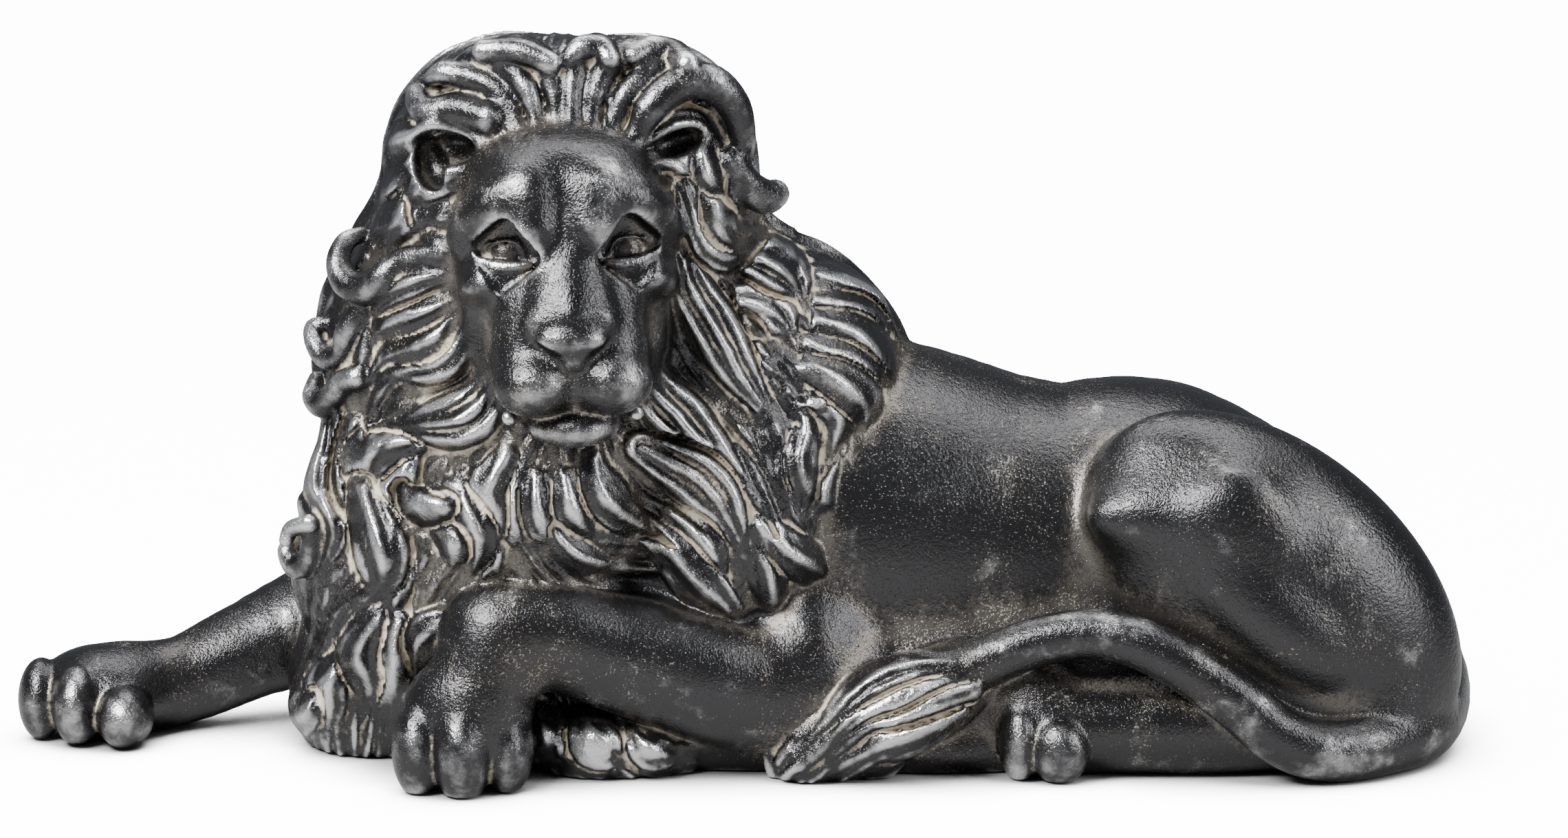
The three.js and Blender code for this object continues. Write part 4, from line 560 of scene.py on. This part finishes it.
class Relief:
    """Heights of the mane's locks on a sheet."""

    def __init__(self, rise):
        self.rise = rise
        self.size = np.ceil((RELIEF_HIGH - RELIEF_LOW) / RELIEF_STEP).astype(int) + 1
        self.height = np.zeros(tuple(self.size), np.float32)
        self.ways = []

    def carve(self, lock, ease=0.45, tip=0.12, strands=2):
        x0, y0, way0, x1, y1, way1, width, wave = lock
        start, end = np.array([x0, y0]), np.array([x1, y1])
        away = np.linalg.norm(end - start)
        heading = [np.array([math.cos(math.radians(w)), math.sin(math.radians(w))]) for w in (way0, way1)]
        b, c = start + ease * away * heading[0], end - ease * away * heading[1]
        count = int(np.clip(round(3 * away), 12, 40))
        s = np.linspace(0, 1, count + 1)[:, None]
        line = start * (1 - s) ** 3 + 3 * b * s * (1 - s) ** 2 + 3 * c * s ** 2 * (1 - s) + end * s ** 3
        way = np.gradient(line, axis=0)
        way /= np.linalg.norm(way, axis=1)[:, None]
        shift = wave * np.sin(2 * np.pi * s * LOCK_WAVES) * np.minimum(1, 3 * s)
        line = line + np.stack([-way[:, 1], way[:, 0]], 1) * shift
        self.ways += zip(line[::3], way[::3])
        s = s[:, 0]
        belly = LOCK_ROOT + (1 - LOCK_ROOT) * np.sin(np.pi * np.minimum(1, s * LOCK_BELLY))
        half = LOCK_SWELL * width * belly * (1 - (1 - tip) * s ** LOCK_TAPER)
        low = np.maximum((line.min(0) - half.max() - RELIEF_LOW) / RELIEF_STEP, 0).astype(int)
        high = np.minimum((line.max(0) + half.max() - RELIEF_LOW) / RELIEF_STEP + 2, self.size).astype(int)
        if (high <= low).any():
            return
        x = (RELIEF_LOW[0] + RELIEF_STEP * np.arange(low[0], high[0]))[:, None]
        y = (RELIEF_LOW[1] + RELIEF_STEP * np.arange(low[1], high[1]))[None, :]
        best = np.ones(np.broadcast(x, y).shape)
        side, wide = np.zeros_like(best), np.full_like(best, width)
        for a, e, wa, we in zip(line, np.diff(line, axis=0), half, np.diff(half)):
            t = np.clip(((x - a[0]) * e[0] + (y - a[1]) * e[1]) / (e @ e + 1e-9), 0, 1)
            rx, ry, w = x - a[0] - t * e[0], y - a[1] - t * e[1], wa + we * t
            q = np.hypot(rx, ry) / w
            closer = q < best
            side = np.where(closer, np.sign(rx * e[1] - ry * e[0]), side)
            wide = np.where(closer, w, wide)
            best = np.where(closer, q, best)
        groove = 0.5 + 0.5 * np.cos(np.pi * (side * best * strands + 1))
        fine = np.where(wide > STRANDS_FROM * width, 1 - STRAND_DEPTH * groove, 1)
        rises = self.rise * wide * (1 - best ** LOCK_EDGE) ** LOCK_ROUND * fine
        here = self.height[low[0]:high[0], low[1]:high[1]]
        here[:] = np.where(best < 1, np.maximum(LOCK_SUNK * here, rises), here)

    def add_hair(self):
        """Fine hair that runs the way of the nearest locks: noise smeared along their flow."""
        shape = tuple(self.size)
        x, y = np.meshgrid(*(RELIEF_LOW[i] + RELIEF_STEP * np.arange(0, self.size[i], FLOW_CELL)
                             for i in (0, 1)), indexing="ij")
        flow = np.zeros((*x.shape, 2))
        for point, way in self.ways:
            flow += way * np.exp(-((x - point[0]) ** 2 + (y - point[1]) ** 2) / FLOW_REACH)[..., None]
        flow /= np.linalg.norm(flow, axis=2)[..., None] + 1e-9
        u, v = np.meshgrid(np.arange(shape[0]), np.arange(shape[1]), indexing="ij")
        noise = np.random.default_rng(HAIR_SEED).normal(size=shape)
        for axis in (0, 1, 0, 1):
            noise = (np.roll(noise, 1, axis) + noise + np.roll(noise, -1, axis)) / 3
        total = np.zeros(shape)
        for direction in (-1, 1):
            p, q = u.astype(float), v.astype(float)
            for _ in range(HAIR_SMEAR):
                i = np.clip(p, 0, shape[0] - 1).astype(int)
                j = np.clip(q, 0, shape[1] - 1).astype(int)
                total += noise[i, j]
                way = flow[i // FLOW_CELL, j // FLOW_CELL]
                p, q = p + direction * way[..., 0], q + direction * way[..., 1]
        total /= total.std()
        hair = HAIR_BASE + HAIR_DEPTH * np.tanh(total)
        on_locks = self.height + HAIR_ON_LOCKS * (hair - HAIR_BASE)
        self.height = np.where(self.height > HAIR_BASE, on_locks, np.maximum(hair, self.height))

    def at(self, across, up):
        u = np.clip((across - RELIEF_LOW[0]) / RELIEF_STEP, 0, self.size[0] - 1.01)
        v = np.clip((up - RELIEF_LOW[1]) / RELIEF_STEP, 0, self.size[1] - 1.01)
        i, j = u.astype(int), v.astype(int)
        u, v, h = u - i, v - j, self.height
        below = h[i, j] * (1 - u) + h[i + 1, j] * u
        above = h[i, j + 1] * (1 - u) + h[i + 1, j + 1] * u
        return below * (1 - v) + above * v


def relief_of_locks(rise):
    relief = Relief(rise)
    for row, *options in LOCKS:
        relief.carve(np.array(row, float), **(options[0] if options else {}))
    relief.add_hair()
    return relief


def strand_height(x, y, z):
    """Plain strands that spread from the crown of the head and fall."""
    dx, dy = x - STRANDS["crown"][0], y - STRANDS["crown"][1]
    r, angle = np.hypot(dx, dy), np.arctan2(dy, dx)
    wave = STRANDS["wave"] * np.sin(2 * np.pi * z / STRANDS["wavelength"] + 2 * np.sin(3 * angle))
    strand = STRANDS["count"] / (2 * np.pi) * (angle + wave / np.maximum(r, 4))
    return STRANDS["height"] * np.minimum(r / STRANDS["crown_radius"], 1) * np.abs(np.cos(np.pi * strand))


def lion_clay(step, rise):
    clay = Clay(FIELD_LOW, FIELD_HIGH, step)
    sculpt(clay, BODY_MASSES)
    mane = Clay(
        (RELIEF_LOW[0], FIELD_LOW[1], FIELD_LOW[2]), (RELIEF_HIGH[0], FIELD_HIGH[1], FIELD_HIGH[2]), step,
    )
    mane.low = clay.low + step * np.round((mane.low - clay.low) / step)
    sculpt(mane, MANE_MASSES)
    relief = relief_of_locks(rise)
    near = np.argwhere(np.abs(mane.value) < RELIEF_REACH)
    x, y, z = (mane.low + step * near).astype(np.float32).T
    slope = np.stack([
        mane.value[tuple(np.minimum(near + ahead, mane.size - 1).T)]
        - mane.value[tuple(np.maximum(near - ahead, 0).T)] for ahead in np.eye(3, dtype=int)
    ], 1)
    facing = np.maximum(slope @ TO_VIEWER, 0) / np.maximum(np.linalg.norm(slope, axis=1), 1e-6)
    behind = np.clip(np.maximum((y - FRONT_OF) / FRONT_FADE, (TURNED_FROM - facing) / TURNED_FADE), 0, 1)
    drawn = relief.at(*drawn_at(x, y, z)) * (FACED_AWAY + (1 - FACED_AWAY) * facing)
    mane.value[tuple(near.T)] -= drawn * (1 - behind) + strand_height(x, y, z) * behind
    corner = np.round((mane.low - clay.low) / step).astype(int)
    stop = np.minimum(corner + mane.size, clay.size)
    where = tuple(slice(a, b) for a, b in zip(corner, stop))
    part = tuple(slice(0, b - a) for a, b in zip(corner, stop))
    clay.value[where] = smooth_min(clay.value[where], mane.value[part], MANE_BLEND)
    del mane
    for rows in CURLS:
        line, until = [], FIELD_HIGH[1]
        for across, up, radius in rows:
            point = on_skin(clay, across, up, until)
            until = point[1] + CURL_DEEPENS
            line.append((*point, radius))
        clay.merge(Limb(line), CURL_BLEND)
    sculpt(clay, [dict(egg=egg, blend=TOE_BLEND) for egg in TOES])
    sculpt(clay, FACE, HEAD_AT, turned(HEAD_TURN))
    for across, up, radii, tilt in EARS:
        clay.merge(Egg(on_skin(clay, across, up), radii, (0, tilt, 0)), EAR_BLEND, cut=True)
    z = (clay.low[2] + step * np.arange(clay.size[2])).astype(np.float32)
    clay.value = np.maximum(clay.value, -z[None, None, :])
    return clay


def blurred(values, reach, rounds=2):
    """The field averaged over boxes of 2 * reach + 1 samples."""
    out = values
    for _ in range(rounds):
        for axis in range(3):
            padded = np.pad(out, [(reach + 1, reach) if n == axis else (0, 0) for n in range(3)], mode="edge")
            running = np.cumsum(padded, axis=axis, dtype=np.float32)
            ahead, behind = [slice(None)] * 3, [slice(None)] * 3
            ahead[axis], behind[axis] = slice(2 * reach + 1, None), slice(None, -(2 * reach + 1))
            out = (running[tuple(ahead)] - running[tuple(behind)]) / (2 * reach + 1)
    return out


def new_mesh(name, points, faces):
    mesh = bpy.data.meshes.new(name)
    sides = faces.shape[1]
    mesh.vertices.add(len(points))
    mesh.vertices.foreach_set("co", points.astype(np.float32).ravel())
    mesh.loops.add(faces.size)
    mesh.loops.foreach_set("vertex_index", faces.astype(np.int32).ravel())
    mesh.polygons.add(len(faces))
    mesh.polygons.foreach_set("loop_start", np.arange(0, faces.size, sides, dtype=np.int32))
    mesh.update(calc_edges=True)
    return mesh


class Wire:
    """A node socket that adds maths nodes when it is used in an expression."""

    def __init__(self, shader, socket):
        self.shader, self.socket = shader, socket

    def _math(self, operation, *values):
        return self.shader.node("ShaderNodeMath", dict(operation=operation), *values)

    def __add__(self, other): return self._math("ADD", self, other)
    def __radd__(self, other): return self._math("ADD", other, self)
    def __sub__(self, other): return self._math("SUBTRACT", self, other)
    def __rsub__(self, other): return self._math("SUBTRACT", other, self)
    def __mul__(self, other): return self._math("MULTIPLY", self, other)
    def __rmul__(self, other): return self._math("MULTIPLY", other, self)

    def held(self):
        return self.shader.node("ShaderNodeMath", dict(operation="ADD", use_clamp=True), self, 0.0)

    def between(self, low, high):
        """0 below low, 1 above high, smooth between."""
        return self.shader.node("ShaderNodeMapRange", dict(interpolation_type="SMOOTHSTEP"), self, low, high)


class Shader:
    """A material whose nodes are made by name, with their settings and their inputs in order."""

    def __init__(self, name):
        self.material = bpy.data.materials.new(name)
        self.material.use_nodes = True
        self.nodes = self.material.node_tree.nodes
        self.links = self.material.node_tree.links
        self.surface = self.nodes["Principled BSDF"]

    def node(self, kind, settings, *values, output=0, **named):
        node = self.nodes.new(kind)
        for key, value in settings.items():
            setattr(node, key, value)
        for key, value in [*enumerate(values), *named.items()]:
            self.feed(node.inputs[key], value)
        return Wire(self, node.outputs[output])

    def feed(self, socket, value):
        if isinstance(value, Wire):
            self.links.new(value.socket, socket)
        else:
            socket.default_value = value

    def mix(self, factor, first, second):
        """first where the factor is 0, second where it is 1: colours."""
        node = self.nodes.new("ShaderNodeMix")
        node.data_type = "RGBA"
        for index, value in ((0, factor), (6, first), (7, second)):
            self.feed(node.inputs[index], value)
        return Wire(self, node.outputs[2])

    def noise(self, place, scale, detail, roughness):
        return self.node("ShaderNodeTexNoise", {}, place, Scale=scale, Detail=detail, Roughness=roughness)

    def set(self, **values):
        for name, value in values.items():
            self.feed(self.surface.inputs[name.replace("_", " ")], value)


def colour_of(value):
    return (*value, 1.0)


def iron_material(finish):
    """Blackened iron, bright where it is rubbed, with pale dust in its hollows and pits, and painted shade
    deep in the broad hollows.
    """
    shader = Shader("blackened iron")
    place = shader.node("ShaderNodeTexCoord", {}, output=3)
    hollow = shader.node("ShaderNodeAttribute", dict(attribute_name="hollow"), output=2)
    cavity = shader.node("ShaderNodeAttribute", dict(attribute_name="cavity"), output=2)
    cloud = shader.noise(place, 14.0, 4.0, 0.6)
    patch = shader.noise(place, 45.0, 5.0, 0.65)
    grain = shader.noise(place, 420.0, 4.0, 0.65)
    speck = shader.noise(place, 900.0, 2.0, 0.6)
    pits = shader.node("ShaderNodeTexVoronoi", dict(feature="F1"), place, Scale=650.0, output=0)

    # Dust lies in the creases and as a haze in broad hollows; deep in the ears, the eye sockets and other
    # broad hollows it is left out, so the dark metal there shows as painted shade. Flecks of it lie anywhere.
    valley = hollow - (cavity - 0.5) * 0.45
    dusty = valley + (patch - 0.5) * 0.35 + (grain - 0.5) * 0.3
    dust = (dusty.between(0.69, 0.93) * 0.95 * (1 - cavity.between(0.64, 0.8) * 0.9)).held()
    flecks = (speck + (patch - 0.5) * 0.45 + (cloud - 0.5) * 0.4).between(0.66, 0.74) * finish.flecks
    broad = (cavity + (patch - 0.5) * 0.3 + (grain - 0.5) * 0.25).between(0.54, 0.7)
    haze = broad * (1 - cavity.between(0.64, 0.8)) * finish.haze
    covered = (dust + flecks + haze).held()
    # The high places are rubbed bright; the deep hollows get painted shade, with the bright metal taken out
    # of them.
    worn_and_shade = (0.5 - hollow + (patch - 0.5) * 0.8).between(0.08, 0.45) * (1 - cavity.between(0.52, 0.66) * 0.85)
    metal = shader.mix(worn_and_shade, colour_of(finish.dark), colour_of(finish.bright))
    metal = shader.mix((cloud.between(0.55, 0.75) * 0.2).held(), metal, colour_of(finish.rust))
    shader.set(
        Base_Color=shader.mix(covered, metal, colour_of(finish.dust)),
        Metallic=(1 - covered) * finish.metallic,
        Roughness=(finish.roughness + (patch - 0.5) * 0.2 + covered * 0.5).held(),
    )
    height = grain * 0.6 + patch * 0.4 + speck * 0.35 - (1 - pits.between(0.0, 0.25)) * 0.3
    bump = shader.node("ShaderNodeBump", {}, Strength=finish.grain, Distance=0.0014, Height=height)
    shader.set(Normal=bump)
    return shader.material


def floor_material(studio):
    """Plain and pale; to the camera it is white but for a painted shadow near the lion, darkened by ambient
    occlusion.
    """
    shader = Shader("floor")
    seen = shader.node("ShaderNodeLightPath", {}, output=0)
    # Painted shadow: ambient occlusion darkens the floor's glow to the camera close to the lion.
    near = shader.node("ShaderNodeAmbientOcclusion", dict(samples=12), output=1, Distance=studio.painted_shadow_reach)
    shader.set(
        Base_Color=colour_of(studio.floor), Roughness=0.9,
        Emission_Color=shader.mix(seen * near.between(0.25, 0.95), (0, 0, 0, 1), (1, 1, 1, 1)),
    )
    shader.surface.inputs["Emission Strength"].default_value = studio.glow
    shader.surface.inputs["Specular IOR Level"].default_value = 0.1
    return shader.material


class LionSculpt(bpy.types.PropertyGroup):
    """How finely and how boldly the lion is sculpted."""

    step: bpy.props.FloatProperty(
        name="Sculpt step", description="Spacing of the sculpt's samples, in hundredths of the length",
        default=0.2, min=0.1, max=1.0,
    )
    quick_step: bpy.props.FloatProperty(
        name="Draft step", description="The spacing in a draft", default=0.3, min=0.1, max=1.0,
    )
    lock_rise: bpy.props.FloatProperty(
        name="Lock rise", description="A lock's height over its half width", default=1.05, min=0.0, max=3.0,
    )
    triangles: bpy.props.IntProperty(
        name="Triangles", description="The mesh is thinned to this many", default=190000, min=10000,
    )


class LionFinish(bpy.types.PropertyGroup):
    """The iron's colours and surface."""

    dark: bpy.props.FloatVectorProperty(
        name="Blackened", description="Metal in the shade of the form", subtype="COLOR",
        default=(0.06, 0.059, 0.061),
    )
    bright: bpy.props.FloatVectorProperty(
        name="Rubbed", description="Metal on the high places", subtype="COLOR", default=(0.74, 0.74, 0.75),
    )
    dust: bpy.props.FloatVectorProperty(
        name="Dust", description="Pale dust in the hollows", subtype="COLOR", default=(0.6, 0.53, 0.41),
    )
    rust: bpy.props.FloatVectorProperty(
        name="Rust", description="Faint brown tint", subtype="COLOR", default=(0.1, 0.075, 0.055),
    )
    flecks: bpy.props.FloatProperty(
        name="Flecks", description="How strongly dust flecks show", default=0.35, min=0, max=1,
    )
    haze: bpy.props.FloatProperty(
        name="Haze", description="Dust in the broad hollows", default=0.16, min=0, max=1,
    )
    metallic: bpy.props.FloatProperty(
        name="Metallic", description="Of the bare metal", default=0.9, min=0, max=1,
    )
    roughness: bpy.props.FloatProperty(
        name="Roughness", description="Of the bare metal", default=0.2, min=0, max=1,
    )
    grain: bpy.props.FloatProperty(
        name="Cast grain", description="Strength of the grain", default=0.5, min=0, max=1,
    )


class LionStudio(bpy.types.PropertyGroup):
    """The floor, the light and the camera."""

    floor: bpy.props.FloatVectorProperty(
        name="Floor", description="Colour of the floor", subtype="COLOR", default=(0.4, 0.4, 0.4),
    )
    glow: bpy.props.FloatProperty(
        name="Glow", description="How bright the floor and backdrop look to the camera", default=14.0,
    )
    # How far the floor's painted shadow, from ambient occlusion, spreads round the lion.
    painted_shadow_reach: bpy.props.FloatProperty(
        name="Shadow reach", description="How far the shadow round the lion spreads", default=0.05,
        unit="LENGTH",
    )
    key: bpy.props.FloatProperty(
        name="Key light", description="From the upper left", default=55.0, unit="POWER",
    )
    side: bpy.props.FloatProperty(name="Side light", description="From the right", default=13.0, unit="POWER")
    top: bpy.props.FloatProperty(name="Top light", description="From above", default=13.0, unit="POWER")
    sky: bpy.props.FloatProperty(name="Sky", description="Strength of the even light all round", default=0.16)
    frame_width: bpy.props.FloatProperty(
        name="Frame width", description="Width of the picture at the lion, in hundredths of its length",
        default=106.8,
    )


class LION_OT_sculpt(bpy.types.Operator):
    """Sculpts the lion and gives it its iron"""

    bl_idname = "lion.sculpt"
    bl_label = "Lion"

    def execute(self, context):
        sizes = context.scene.lion_sculpt
        step = sizes.step
        clay = lion_clay(step, sizes.lock_rise)
        points, quads = clay.skin()
        mesh = new_mesh(NODE + "_casting", points, quads)
        lion = bpy.data.objects.new(NODE + "_casting", mesh)
        context.collection.objects.link(lion)
        if 2 * len(quads) > sizes.triangles:
            thin = lion.modifiers.new("thin", "DECIMATE")
            thin.ratio = sizes.triangles / (2 * len(quads))
            mesh = bpy.data.meshes.new_from_object(lion.evaluated_get(context.evaluated_depsgraph_get()))
            lion.modifiers.clear()
            lion.data = mesh
            mesh.name = NODE + "_casting"
        points = np.empty(3 * len(mesh.vertices), np.float32)
        mesh.vertices.foreach_get("co", points)
        points = points.reshape(-1, 3).astype(float)

        clay.value = np.clip(clay.value, -SHADE_LIMIT, SHADE_LIMIT)
        for name, reach in SHADE_REACH.items():
            clay.value = blurred(clay.value, max(1, round(reach / step)))
            depth = -clay.sample(points) / reach
            attribute = mesh.attributes.new(name, "FLOAT", "POINT")
            attribute.data.foreach_set("value", np.clip(0.5 + depth, 0, 1).astype(np.float32))

        low, high = (np.array(corner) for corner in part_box(NODE))
        size = points.max(0) - points.min(0)
        points = (points - points.min(0)) * ((high - low) / size).min()
        centre = (low + high) / 2 - (points.max(0) + points.min(0)) / 2
        centre[2] = low[2] - points[:, 2].min()
        mesh.vertices.foreach_set("co", (points + centre).astype(np.float32).ravel())
        mesh.polygons.foreach_set("use_smooth", np.ones(len(mesh.polygons), bool))
        mesh.update()
        mesh.materials.append(iron_material(context.scene.lion_finish))
        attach(lion, BODY)
        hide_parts(NODE)
        return {"FINISHED"}


# Lengths in the studio are metres. A lamp: its size, its place and what it looks at.
FLOOR_HALF = 6.0
FLOOR_GAP = 0.0005
SKY_COLOUR = (0.85, 0.9, 1.0)
LAMPS = {
    "key": ((0.7, 0.5), (-0.75, -0.75, 1.1), (-0.05, 0, 0.15)),
    "side": ((0.25, 0.9), (1.2, -0.5, 0.7), (0, 0, 0.15)),
    "top": ((1.4, 0.35), (0.1, 0.25, 1.1), (0, 0, 0.15)),
}


def area_light(name, energy, size, place, aim):
    light = bpy.data.lights.new(name, "AREA")
    light.shape, (light.size, light.size_y) = "RECTANGLE", size
    light.energy = energy
    lamp = bpy.data.objects.new(name, light)
    lamp.location = place
    lamp.rotation_euler = (Vector(aim) - Vector(place)).to_track_quat("-Z", "Y").to_euler()
    bpy.context.collection.objects.link(lamp)


class LION_OT_studio(bpy.types.Operator):
    """Sets the floor, the lights and the camera at the photograph's angle"""

    bl_idname = "lion.studio"
    bl_label = "Studio"

    def execute(self, context):
        studio = context.scene.lion_studio
        corners = FLOOR_HALF * np.array([(-1, -1, 0), (1, -1, 0), (1, 1, 0), (-1, 1, 0)], float)
        floor = bpy.data.objects.new("floor", new_mesh("floor", corners, np.array([[0, 1, 2, 3]])))
        floor.location.z = -FLOOR_GAP
        floor.data.materials.append(floor_material(studio))
        context.collection.objects.link(floor)

        world = bpy.data.worlds.new("studio")
        context.scene.world = world
        world.use_nodes = True
        nodes, links = world.node_tree.nodes, world.node_tree.links
        background = nodes["Background"]
        seen = nodes.new("ShaderNodeLightPath")
        bright = nodes.new("ShaderNodeBackground")
        both = nodes.new("ShaderNodeMixShader")
        background.inputs["Color"].default_value = colour_of(SKY_COLOUR)
        background.inputs["Strength"].default_value = studio.sky
        bright.inputs["Color"].default_value = (1, 1, 1, 1)
        bright.inputs["Strength"].default_value = studio.glow
        links.new(seen.outputs["Is Camera Ray"], both.inputs[0])
        links.new(background.outputs[0], both.inputs[1])
        links.new(bright.outputs[0], both.inputs[2])
        links.new(both.outputs[0], nodes["World Output"].inputs["Surface"])

        for name, (size, place, aim) in LAMPS.items():
            area_light(name, getattr(studio, name), size, place, aim)

        low, high = (np.array(corner) for corner in cad_box)
        share = (high - low)[0] / SCULPT_LENGTH
        camera = bpy.data.cameras.new("camera")
        eye = bpy.data.objects.new("camera", camera)
        aim = Vector(share * (DRAWN_AIM - SCULPT_ORIGIN))
        eye.location = aim + Vector(TO_VIEWER) * DRAWN_AWAY * share
        eye.rotation_euler = Vector(-TO_VIEWER).to_track_quat("-Z", "Y").to_euler()
        camera.sensor_width = 36.0
        camera.lens = camera.sensor_width * DRAWN_AWAY / studio.frame_width
        camera.clip_end = 50.0
        context.collection.objects.link(eye)
        context.scene.camera = eye
        return {"FINISHED"}


class LION_PT_panel(bpy.types.Panel):
    """The lion's steps and settings"""

    bl_idname = "LION_PT_panel"
    bl_label = "Cast iron lion"
    bl_space_type = "VIEW_3D"
    bl_region_type = "UI"
    bl_category = "Lion"

    def draw(self, context):
        for step in STEPS:
            self.layout.operator(step.bl_idname)
        for group in GROUPS:
            values = getattr(context.scene, group)
            for name in values.__annotations__:
                self.layout.prop(values, name)


GROUPS = {"lion_sculpt": LionSculpt, "lion_finish": LionFinish, "lion_studio": LionStudio}
STEPS = (LION_OT_sculpt, LION_OT_studio)
CLASSES = (*GROUPS.values(), *STEPS, LION_PT_panel)


def register():
    for cls in CLASSES:
        bpy.utils.register_class(cls)
    for name, group in GROUPS.items():
        setattr(bpy.types.Scene, name, bpy.props.PointerProperty(type=group))


def unregister():
    for name in GROUPS:
        delattr(bpy.types.Scene, name)
    for cls in reversed(CLASSES):
        bpy.utils.unregister_class(cls)


def main():
    register()
    bpy.ops.lion.sculpt()
    bpy.ops.lion.studio()


if __name__ == "__main__":
    main()
